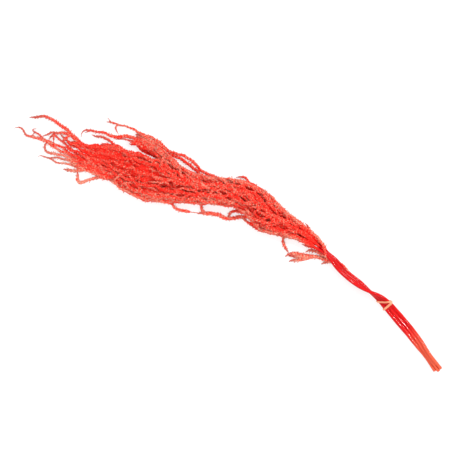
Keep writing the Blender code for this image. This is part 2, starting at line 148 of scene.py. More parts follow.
def lengths_along(route: Array) -> Array:
    """Distance of each point from the first, measured along the curve."""
    steps = np.linalg.norm(np.diff(route[:, :3], axis=0), axis=1)
    return np.concatenate([[0], np.cumsum(steps)])


def unit(vectors: Array) -> Array:
    """The vectors at length one."""
    return vectors / np.linalg.norm(vectors, axis=-1, keepdims=True)


def level_frame(forward: Array) -> tuple[Array, Array, Array]:
    """Unit frame of each direction: forward itself, aside on the level, and above."""
    aside = unit(np.cross(UP, forward))
    return forward, aside, np.cross(forward, aside)


def frames_along(route: Array) -> tuple[Array, Array, Array]:
    """Level frame at each point of a curve that is nowhere upright."""
    return level_frame(unit(np.gradient(route, axis=0)))


def circle(count: int) -> Array:
    """Angles of that many points, evenly round a circle."""
    return 2 * math.pi * np.arange(count) / count


def turned(angle: Array, aside: Array, above: Array) -> Array:
    """Directions at angles: the cosine of each along aside, plus its sine along above."""
    return np.cos(angle)[..., None] * aside + np.sin(angle)[..., None] * above


def rounded(angle: Array, power: float) -> tuple[Array, Array]:
    """Cosine and sine of a superellipse: a circle's, raised to the power with their signs."""
    return tuple(np.sign(w) * np.abs(w) ** power for w in (np.cos(angle), np.sin(angle)))


# Meshes


@dataclass
class Skin:
    """Surfaces of one piece, gathered as whole arrays before they become its mesh."""

    points: list[Array] = field(default_factory=list)
    quads: list[Array] = field(default_factory=list)
    triangles: list[Array] = field(default_factory=list)
    quad_finish: list[Array] = field(default_factory=list)
    triangle_finish: list[Array] = field(default_factory=list)
    values: dict[str, list[Array]] = field(default_factory=dict)
    count: int = 0

    def add(
        self,
        points: Array,
        quads: Array | None = None,
        triangles: Array | None = None,
        finish: int = 0,
        **values: Array | float,
    ) -> None:
        """Adds one surface.

        Args:
            points: its points in millimetres of the tables, one to a row.
            quads: its four-sided faces, as rows of point numbers.
            triangles: its three-sided faces, as rows of point numbers.
            finish: which of the piece's materials its faces take.
            **values: values that the materials read, one to a point or one for all of them.
        """
        points = np.asarray(points, dtype=float).reshape(-1, 3)
        for faces, kept, finishes in (
            (quads, self.quads, self.quad_finish),
            (triangles, self.triangles, self.triangle_finish),
        ):
            if faces is not None and len(faces):
                kept.append(np.asarray(faces) + self.count)
                finishes.append(np.full(len(faces), finish))
        self.points.append(points)
        for name, value in values.items():
            value = np.asarray(value, dtype=float)
            shape = (len(points), 3) if value.shape[-1:] == (3,) else (len(points),)
            self.values.setdefault(name, []).append(np.broadcast_to(value, shape))
        self.count += len(points)

    def piece(self, name: str, materials: Sequence[bpy.types.Material]) -> bpy.types.Object:
        """Makes the mesh, with its values and materials, pressed on the table where it reaches it.

        Args:
            name: the finished piece's name.
            materials: its materials, in the order that the surfaces' finishes count them.

        Returns:
            The piece's object, at the origin.
        """
        points = (np.vstack(self.points) - ORIGIN) * MM
        points[:, 2] = np.maximum(points[:, 2], 0.0)
        sizes, corners, finishes = [], [], []
        for faces, kept in ((self.quads, self.quad_finish), (self.triangles, self.triangle_finish)):
            if faces:
                joined = np.vstack(faces)
                sizes.append(np.full(len(joined), joined.shape[1]))
                corners.append(joined.ravel())
                finishes.append(np.concatenate(kept))
        sizes, corners = np.concatenate(sizes), np.concatenate(corners)
        mesh = bpy.data.meshes.new(name)
        mesh.vertices.add(len(points))
        mesh.vertices.foreach_set("co", points.astype(np.float32).ravel())
        mesh.loops.add(len(corners))
        mesh.loops.foreach_set("vertex_index", corners.astype(np.int32))
        mesh.polygons.add(len(sizes))
        starts = np.concatenate([[0], np.cumsum(sizes)[:-1]])
        mesh.polygons.foreach_set("loop_start", starts.astype(np.int32))
        for material in materials:
            mesh.materials.append(material)
        mesh.polygons.foreach_set("material_index", np.concatenate(finishes).astype(np.int32))
        mesh.polygons.foreach_set("use_smooth", np.ones(len(sizes), dtype=bool))
        for label, kept_values in self.values.items():
            joined = np.concatenate(kept_values).astype(np.float32)
            kind, key = ("FLOAT_VECTOR", "vector") if joined.ndim == 2 else ("FLOAT", "value")
            layer = mesh.attributes.new(label, kind, "POINT")
            layer.data.foreach_set(key, joined.ravel())
        mesh.update(calc_edges=True)
        mesh.validate()
        made = bpy.data.objects.new(name, mesh)
        bpy.context.scene.collection.objects.link(made)
        LOG.info("%s: %d triangles", name, int((sizes - 2).sum()))
        return made


def ring_faces(rings: int, sides: int, closed: bool = False) -> Array:
    """Faces of a grid that goes round, from ring to ring, facing outwards.

    Args:
        rings: how many rings of points follow each other.
        sides: how many points each ring has.
        closed: whether the last ring joins the first.

    Returns:
        Rows of four point numbers.
    """
    ring, side = np.meshgrid(np.arange(rings - (not closed)), np.arange(sides), indexing="ij")
    after, beside = (ring + 1) % rings, (side + 1) % sides
    corners = (
        ring * sides + side,
        ring * sides + beside,
        after * sides + beside,
        after * sides + side,
    )
    return np.stack(corners, axis=-1).reshape(-1, 4)


def fan_faces(first: int, sides: int, pole: int, onward: bool) -> Array:
    """Faces that close a ring of points on one more point.

    Args:
        first: number of the ring's first point.
        sides: how many points the ring has.
        pole: number of the point in the middle.
        onward: whether the fan faces the way the rings run, or back.

    Returns:
        Rows of three point numbers.
    """
    side = first + np.arange(sides)
    beside = first + (np.arange(sides) + 1) % sides
    pair = (side, beside) if onward else (beside, side)
    return np.stack([np.full(sides, pole), *pair], axis=-1)


def end_faces(rings: int, sides: int) -> Array:
    """Fans that close both ends of a grid on the two points that follow its own."""
    count = rings * sides
    return np.vstack([
        fan_faces(0, sides, count, onward=False),
        fan_faces(count - sides, sides, count + 1, onward=True),
    ])


# Finishes


def linear(colour: str) -> tuple[float, float, float, float]:
    """Linear red, green, blue and alpha of an sRGB hex value such as #FF8060."""
    parts = [int(colour[n : n + 2], 16) / 255 for n in (1, 3, 5)]
    red, green, blue = (
        part / 12.92 if part <= 0.04045 else ((part + 0.055) / 1.055) ** 2.4 for part in parts
    )
    return red, green, blue, 1.0


def add_node(
    tree: bpy.types.NodeTree,
    kind: str,
    settings: dict[str | int, Any] | None = None,
    links: dict[str | int, bpy.types.NodeSocket] | None = None,
) -> bpy.types.Node:
    """Adds one node with its settings and its links.

    Args:
        tree: the material's nodes.
        kind: Blender's name of the node.
        settings: its properties and the values of its unlinked inputs. "stops" gives a colour
            ramp's places and hex colours, and a hex value is turned to linear.
        links: the outputs that its inputs take, by the input's name or number.

    Returns:
        The node.
    """
    made = tree.nodes.new(kind)
    for key, value in (settings or {}).items():
        if key == "stops":
            for number, (place, colour) in enumerate(value):
                elements = made.color_ramp.elements
                stop = elements[number] if number < 2 else elements.new(place)
                stop.position, stop.color = place, linear(colour)
        elif isinstance(key, str) and hasattr(made, key):
            setattr(made, key, value)
        else:
            hexed = isinstance(value, str) and value.startswith("#")
            made.inputs[key].default_value = linear(value) if hexed else value
    for key, source in (links or {}).items():
        tree.links.new(source, made.inputs[key])
    return made


def new_material(name: str) -> tuple[bpy.types.Material, bpy.types.NodeTree]:
    """An empty material of that name, and its nodes."""
    made = bpy.data.materials.new(name)
    made.use_nodes = True
    made.node_tree.nodes.clear()
    return made, made.node_tree


def close_material(tree: bpy.types.NodeTree, shader: bpy.types.Node) -> None:
    """Links the shader to the material's surface."""
    add_node(tree, "ShaderNodeOutputMaterial", links={"Surface": shader.outputs[0]})


def lines_along(
    tree: bpy.types.NodeTree, spacing_mm: float, stretch: float, settings: dict[str, float]
) -> bpy.types.NodeSocket:
    """Fine lines along a piece: noise on the piece as if it were straightened out.

    Args:
        tree: the material's nodes.
        spacing_mm: the distance from line to line, in millimetres.
        stretch: the noise's scale along the piece, as a share of the one across it.
        settings: the noise's further settings.

    Returns:
        The noise's value.
    """
    straight = add_node(tree, "ShaderNodeAttribute", {"attribute_name": "straight"})
    stretched = add_node(
        tree,
        "ShaderNodeMapping",
        {"Scale": (stretch, 1.0, 1.0)},
        {"Vector": straight.outputs["Vector"]},
    )
    settings = {"Scale": 1 / (spacing_mm * MM), **settings}
    noise = add_node(tree, "ShaderNodeTexNoise", settings, {"Vector": stretched.outputs[0]})
    return noise.outputs[0]


@dataclass(frozen=True)
class DyedFlorets:
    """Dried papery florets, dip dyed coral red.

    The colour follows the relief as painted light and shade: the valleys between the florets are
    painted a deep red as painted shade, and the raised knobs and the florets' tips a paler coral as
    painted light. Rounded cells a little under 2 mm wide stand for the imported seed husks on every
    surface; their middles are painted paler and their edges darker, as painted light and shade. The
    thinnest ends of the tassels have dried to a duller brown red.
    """

    name: str = "dried amaranth florets, dip dyed coral red"
    # painted shade: the deep red of the valleys; painted light: the paler tip coral of raised knobs
    # and floret tips
    shaded_valley: str = "#F21A0C"
    body: str = "#EC4C38"
    tip: str = "#DA9A84"
    faded: str = "#BE5A4E"
    nap: str = "#FFB0A0"
    patch_mm: float = 5.0
    patch_tone: float = 0.22
    husk_mm: float = 1.6
    # painted light and shade: each husk cell's middle is painted paler and its edge darker
    husk_shading: float = 0.5
    husk_rise_mm: float = 0.8
    grain_mm: float = 0.5
    grain_rise_mm: float = 0.15
    tassel_range: Pair = (0.94, 1.06)
    roughness: float = 0.8

    def material(self) -> bpy.types.Material:
        """Builds the material from the relief, strand and fade values of the tassels."""
        made, tree = new_material(self.name)
        place = add_node(tree, "ShaderNodeTexCoord").outputs["Object"]
        relief, strand, fade = (
            add_node(tree, "ShaderNodeAttribute", {"attribute_name": word}).outputs["Fac"]
            for word in ("relief", "strand", "fade")
        )
        patches, husks, grain = (
            add_node(tree, kind, {"Scale": 1 / (size * MM), **more}, {"Vector": place}).outputs[0]
            for kind, size, more in (
                ("ShaderNodeTexNoise", self.patch_mm, {"Detail": 3.0, "Roughness": 0.6}),
                ("ShaderNodeTexVoronoi", self.husk_mm, {}),
                ("ShaderNodeTexNoise", self.grain_mm, {"Detail": 2.0}),
            )
        )
        # the husk cells' middles are painted paler and their edges darker, as painted light and shade
        uneven, husk_light_and_shade, bright = (
            add_node(
                tree,
                "ShaderNodeMapRange",
                {"From Min": low, "From Max": high, "To Min": first, "To Max": last},
                {"Value": source},
            ).outputs[0]
            for source, low, high, first, last in (
                (patches, 0.3, 0.7, -self.patch_tone, self.patch_tone),
                (husks, 0.12, 0.7, self.husk_shading, -self.husk_shading),
                (strand, 0.0, 1.0, *self.tassel_range),
            )
        )
        mottled = add_node(tree, "ShaderNodeMath", {"operation": "ADD"}, {0: husk_light_and_shade, 1: uneven})
        shifted = add_node(
            tree, "ShaderNodeMath", {"operation": "ADD"}, {0: relief, 1: mottled.outputs[0]}
        )
        # painted light and shade: the relief runs the colour from the shaded valley red to the lit
        # tip coral
        dyed = add_node(
            tree,
            "ShaderNodeValToRGB",
            {"stops": ((0.0, self.shaded_valley), (1.0, self.tip), (0.5, self.body))},
            {"Fac": shifted.outputs[0]},
        )
        shaded = add_node(
            tree, "ShaderNodeHueSaturation", links={"Color": dyed.outputs[0], "Value": bright}
        )
        colour = add_node(
            tree,
            "ShaderNodeMix",
            {"data_type": "RGBA", 7: self.faded},
            {0: fade, 6: shaded.outputs[0]},
        )
        husked = add_node(
            tree,
            "ShaderNodeBump",
            {"invert": True, "Strength": 1.0, "Distance": self.husk_rise_mm * MM},
            {"Height": husks},
        )
        bump = add_node(
            tree,
            "ShaderNodeBump",
            {"Strength": 0.5, "Distance": self.grain_rise_mm * MM},
            {"Height": grain, "Normal": husked.outputs[0]},
        )
        shader = add_node(
            tree,
            "ShaderNodeBsdfPrincipled",
            {"Roughness": self.roughness, "Specular IOR Level": 0.2, "Sheen Weight": 0.1,
             "Sheen Roughness": 0.5, "Sheen Tint": self.nap},
            {"Base Color": colour.outputs[2], "Normal": bump.outputs[0]},
        )
        close_material(tree, shader)
        return made


@dataclass(frozen=True)
class DyedStem:
    """Dried ribbed stem, dip dyed and glossy.

    The dye sits glossy and deep on the fibres, which run along the stem. Both flanks are painted
    darker as painted shade, and the dye has taken less towards the cut end, where the stem is a
    paler coral.
    """

    name: str = "dried amaranth stem, dip dyed coral red"
    deep: str = "#A40006"
    bright: str = "#D60404"
    # painted shade along both flanks of each stem
    flank_shade: str = "#5C0408"
    pale: str = "#DE5C3E"
    fibre_mm: float = 0.55
    fibre_stretch: float = 0.03
    fibre_rise_mm: float = 0.1
    roughness: float = 0.4
    smoother: float = 0.08
    rougher: float = 0.15
    coat: float = 0.37

    def material(self) -> bpy.types.Material:
        """Builds the material on the stem as if it were straightened out."""
        made, tree = new_material(self.name)
        fibres = lines_along(
            tree, self.fibre_mm, self.fibre_stretch, {"Detail": 3.0, "Roughness": 0.6}
        )
        colour = add_node(
            tree,
            "ShaderNodeValToRGB",
            {"stops": ((0.35, self.deep), (0.62, self.bright))},
            {"Fac": fibres},
        ).outputs[0]
        # the first mix is the paler dye towards the cut end, the second painted shade on both flanks
        for word, dye in (("fade", self.pale), ("pool", self.flank_shade)):
            share = add_node(tree, "ShaderNodeAttribute", {"attribute_name": word}).outputs["Fac"]
            mixed = {"data_type": "RGBA", 7: dye}
            colour = add_node(tree, "ShaderNodeMix", mixed, {0: share, 6: colour}).outputs[2]
        rough = add_node(
            tree,
            "ShaderNodeMapRange",
            {"To Min": self.roughness - self.smoother, "To Max": self.roughness + self.rougher},
            {"Value": fibres},
        )
        bump = add_node(
            tree,
            "ShaderNodeBump",
            {"Strength": 0.25, "Distance": self.fibre_rise_mm * MM},
            {"Height": fibres},
        )
        shader = add_node(
            tree,
            "ShaderNodeBsdfPrincipled",
            {"Specular IOR Level": 0.02, "Coat Weight": self.coat, "Coat Roughness": 0.05},
            {"Base Color": colour, "Roughness": rough.outputs[0], "Normal": bump.outputs[0]},
        )
        close_material(tree, shader)
        return made


@dataclass(frozen=True)
class CutPith:
    """Cut stem end: cream pith with a ring of stained fibres under the bark."""

    name: str = "dried amaranth pith, sawn across"
    pith: str = "#F6DCC6"
    ring: str = "#F0977F"
    bark: str = "#D8483A"
    pore_mm: float = 0.35
    pore_rise_mm: float = 0.1
    pore_tone: float = 0.12
    roughness: float = 0.85

    def material(self) -> bpy.types.Material:
        """Builds the material from the distance to the stem's middle."""
        made, tree = new_material(self.name)
        rim = add_node(tree, "ShaderNodeAttribute", {"attribute_name": "rim"}).outputs["Fac"]
        place = add_node(tree, "ShaderNodeTexCoord").outputs["Object"]
        pored = {"Scale": 1 / (self.pore_mm * MM), "Detail": 2.0}
        pores = add_node(tree, "ShaderNodeTexNoise", pored, {"Vector": place}).outputs[0]
        uneven = add_node(
            tree,
            "ShaderNodeMapRange",
            {"To Min": -self.pore_tone, "To Max": self.pore_tone},
            {"Value": pores},
        )
        shifted = add_node(
            tree, "ShaderNodeMath", {"operation": "ADD"}, {0: rim, 1: uneven.outputs[0]}
        )
        colour = add_node(
            tree,
            "ShaderNodeValToRGB",
            {"stops": ((0.45, self.pith), (1.0, self.bark), (0.75, self.ring))},
            {"Fac": shifted.outputs[0]},
        )
        sunk = {"Strength": 0.6, "Distance": self.pore_rise_mm * MM}
        bump = add_node(tree, "ShaderNodeBump", sunk, {"Height": pores})
        shader = add_node(
            tree,
            "ShaderNodeBsdfPrincipled",
            {"Roughness": self.roughness},
            {"Base Color": colour.outputs[0], "Normal": bump.outputs[0]},
        )
        close_material(tree, shader)
        return made


@dataclass(frozen=True)
class BandRubber:
    """Natural rubber band, extruded and cut.

    Satin cream orange, with the fine lines of the extrusion along it and a slight glow where
    light passes through the thin edge.
    """

    name: str = "natural rubber, extruded band"
    light: str = "#E29A74"
    dark: str = "#CE7A54"
    line_mm: float = 0.35
    line_stretch: float = 0.05
    line_rise_mm: float = 0.08
    roughness: float = 0.5
    glow: float = 0.15
    glow_depth_mm: float = 1.0

    def material(self) -> bpy.types.Material:
        """Builds the material on the band as if it were straightened out."""
        made, tree = new_material(self.name)
        lines = lines_along(tree, self.line_mm, self.line_stretch, {"Detail": 2.0})
        colour = add_node(
            tree,
            "ShaderNodeValToRGB",
            {"stops": ((0.3, self.dark), (0.7, self.light))},
            {"Fac": lines},
        )
        drawn = {"Strength": 0.4, "Distance": self.line_rise_mm * MM}
        bump = add_node(tree, "ShaderNodeBump", drawn, {"Height": lines})
        shader = add_node(
            tree,
            "ShaderNodeBsdfPrincipled",
            {"Roughness": self.roughness, "IOR": 1.52, "Subsurface Weight": self.glow,
             "Subsurface Radius": (1.0, 0.5, 0.3), "Subsurface Scale": self.glow_depth_mm * MM},
            {"Base Color": colour.outputs[0], "Normal": bump.outputs[0]},
        )
        close_material(tree, shader)
        return made


@dataclass(frozen=True)
class TableTop:
    """Opal acrylic light table that the bunch lies on.

    It is white all over and lit softly from below, so the shadows on it stay faint.
    """

    name: str = "opal acrylic light table, matt"
    colour: str = "#AAAAAA"
    glow: float = 0.6
    roughness: float = 0.9

    def material(self) -> bpy.types.Material:
        """Builds the plain white, with its glow."""
        made, tree = new_material(self.name)
        shader = add_node(
            tree,
            "ShaderNodeBsdfPrincipled",
            {"Base Color": self.colour, "Roughness": self.roughness, "Specular IOR Level": 0.1,
             "Emission Color": "#FFFFFF", "Emission Strength": self.glow},
        )
        close_material(tree, shader)
        return made


# Growth of the bunch


@dataclass(frozen=True)
class Heap:
    """Room that the three heads share: four edges across the heap and its height along it.

    The upper plant has edges of its own where it parts from the others near its tips, and
    where its loose tassels run clear of the rest.
    """

    bottom: Stations = (
        (470, 62), (450, 61.5), (430, 61), (410, 56), (390, 49.5), (370, 47.5), (352, 54.5),
        (330, 55.5), (310, 49.5), (290, 40.5), (270, 28), (250, 17), (230, 9), (210, 2),
        (190, -0.5), (170, 0), (150, -1), (130, -3), (110, -5), (90, -2), (70, -4), (50, -4),
    )
    lower: Stations = (
        (470, 67.5), (450, 68.6), (430, 68), (410, 65), (390, 64.5), (370, 67), (350, 71.5),
        (330, 71.5), (310, 66), (290, 58), (270, 47.5), (250, 38.5), (230, 31), (210, 25),
        (190, 20.5), (170, 18), (150, 16), (130, 13.5), (110, 11.5), (90, 11), (70, 10.5), (50, 10),
    )
    upper: Stations = (
        (470, 70), (450, 75), (430, 76), (410, 76.4), (390, 79), (370, 83), (350, 86.5),
        (330, 86.5), (310, 79.5), (290, 71.5), (270, 64.5), (250, 60), (230, 58), (210, 58.5),
        (190, 59), (170, 55.5), (150, 51.5), (130, 45), (110, 37.5), (90, 34), (70, 34), (50, 34),
    )
    top: Stations = (
        (470, 76), (450, 80.5), (430, 85.5), (410, 87.5), (390, 92), (370, 99), (350, 101.5),
        (330, 101), (310, 92.5), (290, 84), (270, 78), (250, 76.5), (230, 77), (210, 76.5),
        (190, 76.5), (170, 78.5), (150, 72), (130, 66), (110, 60), (90, 56), (70, 54), (50, 54),
    )
    parted: Stations = upper[:11] + (
        (250, 60.2), (230, 59), (210, 61), (190, 64.5), (170, 65), (150, 64), (130, 56), (110, 48),
        (90, 42), (70, 38), (50, 36),
    )
    crest: Stations = top[:6] + (
        (352, 101), (338, 98), (326, 95), (310, 89.5), (290, 82), (270, 75.5), (255, 71.5),
        (240, 70.5), (225, 72.5), (210, 76), (190, 77.5),
    ) + top[15:19]
    height: Stations = (
        (470, 14), (440, 19), (400, 25), (350, 29), (300, 28), (250, 26), (200, 22), (150, 16),
        (100, 11), (60, 6.5), (40, 5),
    )
    shoulder: float = 0.42
    rounding: float = 2.4
    border_lean: float = 0.32
    margin: float = 2.4
    strand_radius: float = 1.95
    swing: float = 1.5
    swing_length: float = 128.0
    swing_shift: float = 18.0
    swing_ends: Pair = (80.0, 400.0)
    swing_fade: float = 60.0
    open_depth: float = 2.5
    closed_depth: float = 9.0
    edge_from: float = 0.5
    # painted light: tassels are painted paler towards the heap's edges and loose beside the lower one
    edge_light: float = 0.38
    loose_reach: float = 0.15
    loose_light: float = 0.24
    deep_place: float = 395.0
    deep_reach: float = 45.0
    deep_dye: float = 0.16

    def edges(self, seat: Seat) -> tuple[tuple[Stations, float], tuple[Stations, float]]:
        """The two edges of a plant's share, each with how far it leans over with height."""
        lean = self.border_lean
        order = ((self.bottom, 0.0), (self.lower, lean), (self.upper, lean), (self.top, 0.0))
        first = 1 - seat.value
        if seat is Seat.UPPER:
            return (self.parted, lean), (self.crest, 0.0)
        return order[first], order[first + 1]

    def crown(self, along: Array, across: Array) -> Array:
        """Height of the heap's upper side: it falls off as a power of the distance aside."""
        bottom, top = read_off(self.bottom, along), read_off(self.top, along)
        share = np.minimum(np.abs(2 * (across - bottom) / (top - bottom) - 1), 1)
        return read_off(self.height, along) * (1 - self.shoulder * share**self.rounding)

    def depth(self, points: Array) -> Array:
        """How deep points lie under the heap's upper side: 0 there, and 1 a few tassels down."""
        crown = self.crown(points[..., 0], points[..., 1])
        return np.clip((crown - self.open_depth - points[..., 2]) / self.closed_depth, 0, 1)

    def edge_light_and_base_tone(self, points: Array) -> Array:
        """Tone added to the tassels: painted light at the edges, and a deeper red near the base.

        Tassels are painted paler towards both edges, and paler still where they lie loose beside the
        lower one, as painted light. Inside, they are a deeper red near the heap's base.
        """
        bottom, top = read_off(self.bottom, points[..., 0]), read_off(self.top, points[..., 0])
        side = 2 * (points[..., 1] - bottom) / (top - bottom) - 1
        edge = np.clip((np.abs(side) - self.edge_from) / (1 - self.edge_from), 0, 1)
        loose = np.clip((-side - 1) / self.loose_reach, 0, 1)
        base = np.exp(-(((points[..., 0] - self.deep_place) / self.deep_reach) ** 2))
        # painted light at the edges and on the loose tassels
        paler = self.edge_light * edge + self.loose_light * loose
        return paler - self.deep_dye * base * (1 - edge)

    def room(self, seat: Seat, along: Array, sideways: Array, upwards: Array) -> Array:
        """Points in a plant's share of the heap.

        Across is the share of the way from one edge to the other, each leaning with height. Up
        is the share of the heap's height there. A slow sine carries the whole flow from side to
        side.

        Args:
            seat: the plant.
            along: places along the bunch, in millimetres.
            sideways: shares of the width, from 0 to 1.
            upwards: shares of the height, from 0 to 1.

        Returns:
            The points, one to a row.
        """
        along, sideways, upwards = np.broadcast_arrays(along, sideways, upwards)
        tall = read_off(self.height, along)
        lean = tall * (upwards - 0.5)
        (low_edge, low_lean), (high_edge, high_lean) = self.edges(seat)
        low = read_off(low_edge, along) + low_lean * lean
        high = read_off(high_edge, along) + high_lean * lean
        across = low + self.margin + np.maximum(high - low - 2 * self.margin, 0) * sideways
        crown = self.crown(along, across)
        swing = self.swing * np.sin(2 * math.pi * along / self.swing_length
                                    + across / self.swing_shift)
        near, far = self.swing_ends
        window = np.clip(np.minimum(along - near, far - along) / self.swing_fade, 0, 1)
        up = self.strand_radius + np.maximum(crown - 2 * self.strand_radius, 0) * upwards
        return np.stack([along, across + swing * window, up], axis=-1)


@dataclass(frozen=True)
class StemRibbon:
    """The three stems side by side, as a ribbon that turns over along the bunch.

    Each station is a place along, the middle stem's place across, the ribbon's turn in degrees
    and the spacing of the stems.
    """

    stations: Stations = (
        (700, 1.0, 22, 4.6), (675, 12.2, 52, 4.9), (650, 23.4, 15, 5.1), (635, 29.6, 2, 5.3),
        (618, 35.6, 0, 5.5), (600, 42.0, 8, 5.2), (588, 46.0, 24, 5.0), (575, 49.0, 52, 5.0),
        (560, 50.0, 88, 5.1), (540, 51.8, 128, 5.2), (520, 54.4, 134, 5.1), (502, 59.0, 138, 5.0),
        (490, 63.2, 128, 5.0), (480, 65.8, 114, 5.0),
    )
    radii: Stations = (
        (700, 2.15), (600, 2.3), (480, 2.1), (440, 1.8), (380, 1.5), (300, 1.2), (240, 0.8),
    )
    press: float = 0.9
    lift: float = 2.28
    lift_reach: float = 34.0
    lift_place: float = 583.0

    def point(self, along: Array | float, place: Array | float) -> Array:
        """Middle of a stem: stepped aside and up from the ribbon's middle by its turn.

        Args:
            along: places along the bunch, in millimetres.
            place: 1, 0 or -1 for a stem, or between them for a place between two stems.

        Returns:
            The points, one to a row.
        """
        along, place = np.broadcast_arrays(np.asarray(along, float), np.asarray(place, float))
        middle = read_off(self.stations, along, 1)
        turn = np.radians(read_off(self.stations, along, 2))
        spacing = read_off(self.stations, along, 3)
        slope = read_off(self.stations, along + 1, 1) - middle
        across = place * spacing * np.cos(turn) / np.hypot(1, slope)
        lift = self.lift * np.exp(-(((along - self.lift_place) / self.lift_reach) ** 2))
        rest = self.press * read_off(self.radii, along) + lift
        above = spacing * (np.abs(np.sin(turn)) + place * np.sin(turn))
        return np.stack([along - slope * across, middle + across, rest + above], axis=-1)

    def frame(self, along: Array, place: Array) -> tuple[Array, Array, Array]:
        """Level frame of a stem at places along it: its direction, aside and above."""
        return level_frame(unit(self.point(along + 1, place) - self.point(along - 1, place)))


HEAP = Heap()
RIBBON = StemRibbon()


@dataclass(frozen=True)
class Weave:
    """How closely a tassel is modelled, and how pale it may be.

    Points round it, the step along it and the distance from floret to floret in millimetres,
    and its least and greatest tone, from 0 for deep red to 1 for coral.
    """

    sides: int
    ring_step: float
    floret_spacing: float
    tones: Pair


class Layer(Enum):
    """Where a tassel lies in the heap.

    Outer tassels take paler tones as painted light, and inner ones deeper tones as painted shade.
    """

    INSIDE = Weave(8, 1.3, 1.2, (0.0, 0.35))
    AMONG = Weave(9, 1.1, 0.65, (0.1, 0.85))
    OUTSIDE = Weave(9, 1.1, 0.6, (0.45, 1.0))


class Kind(Enum):
    """Kinds of tassel: bare root and faded tip in millimetres, layer, and how far it wriggles."""

    ROW = (16.0, 14.0, Layer.AMONG, 1.0)
    STRAY = (16.0, 42.0, Layer.OUTSIDE, 0.5)
    MIDDLE = (20.0, 14.0, Layer.AMONG, 1.0)
    SHOOT = (4.0, 13.0, Layer.OUTSIDE, 0.4)
    FILLING = (10.0, 8.0, Layer.INSIDE, 1.0)
    CROSSING = (12.0, 12.0, Layer.OUTSIDE, 1.0)
    LATERAL = (3.0, 4.0, Layer.OUTSIDE, 0.3)
    COLLAR = (40.0, 8.0, Layer.AMONG, 0.5)


@dataclass(frozen=True)
class Sowing:
    """Ranges that one kind of tassel is drawn from, where the solids have none of its kind.

    Roots are places along the bunch, and lengths are along it too, in millimetres. Upwards and
    drift are shares of the heap's height and width, stoutness is a share of the plant's
    thickness, and overrun is how far a tip may pass those of the last row.
    """

    kind: Kind
    roots: Pair
    lengths: Pair
    stoutness: Pair
    upwards: Pair
    drift: Pair = (0.0, 0.0)
    overrun: float = 0.0


FILLING = Sowing(Kind.FILLING, (330, 445), (180, 300), (0.85, 1.1), (0.15, 0.7), (-0.35, 0.35), 45)
CROSSING = Sowing(Kind.CROSSING, (280, 445), (80, 160), (0.7, 0.95), (-0.06, 0.06), (0.3, 0.9), 10)
LATERAL = Sowing(Kind.LATERAL, (25, 440), (16, 38), (0.6, 0.95), (0.9, 1.0))
COLLAR = Sowing(Kind.COLLAR, (456, 469), (80, 150), (0.95, 1.15), (0.1, 0.95))


@dataclass(frozen=True)
class Strand:
    """One tassel: its points, its thickness along it, and how it is dressed.

    Bare is the length at its root with few florets, and fade the length at its tip that has
    dried to a duller colour, both in millimetres. Meander is how far it wriggles.
    """

    points: Array
    radii: Array
    bare: float
    fade: float
    layer: Layer
    meander: float
    taper: float = 9.0
    tip_share: float = 0.12
    settle: float = 20.0
    shortest: tuple[float, ...] = (13, 26, 11)
    longest: tuple[float, ...] = (21, 46, 19)
    swings: tuple[float, ...] = (0.8, 1.4, 0.8)

    def route(self, rng: np.random.Generator) -> Array:
        """Evenly spaced points with a wriggle: two sines aside and one up, grown from nothing."""
        route = evenly_spaced(self.points, self.layer.value.ring_step)
        lengths = lengths_along(route)[:, None]
        phase = rng.uniform(0, 2 * math.pi, 3)
        wave = 2 * math.pi / rng.uniform(self.shortest, self.longest)
        grown = np.clip(lengths / self.settle, 0, 1) * self.meander
        sines = np.sin(lengths * wave + phase) * grown
        _, aside, above = frames_along(route)
        quick, slow, up = self.swings
        sideways = aside * (quick * sines[:, :1] + slow * sines[:, 1:2])
        return route + sideways + above * up * sines[:, 2:]

    def radii_at(self, lengths: Array) -> Array:
        """Radius at each length: drawn in as a square root over the last stretch to the tip."""
        total = lengths[-1]
        radii = np.interp(lengths / total, np.linspace(0, 1, len(self.radii)), self.radii)
        return radii * np.sqrt(np.clip((total - lengths) / self.taper, self.tip_share, 1))


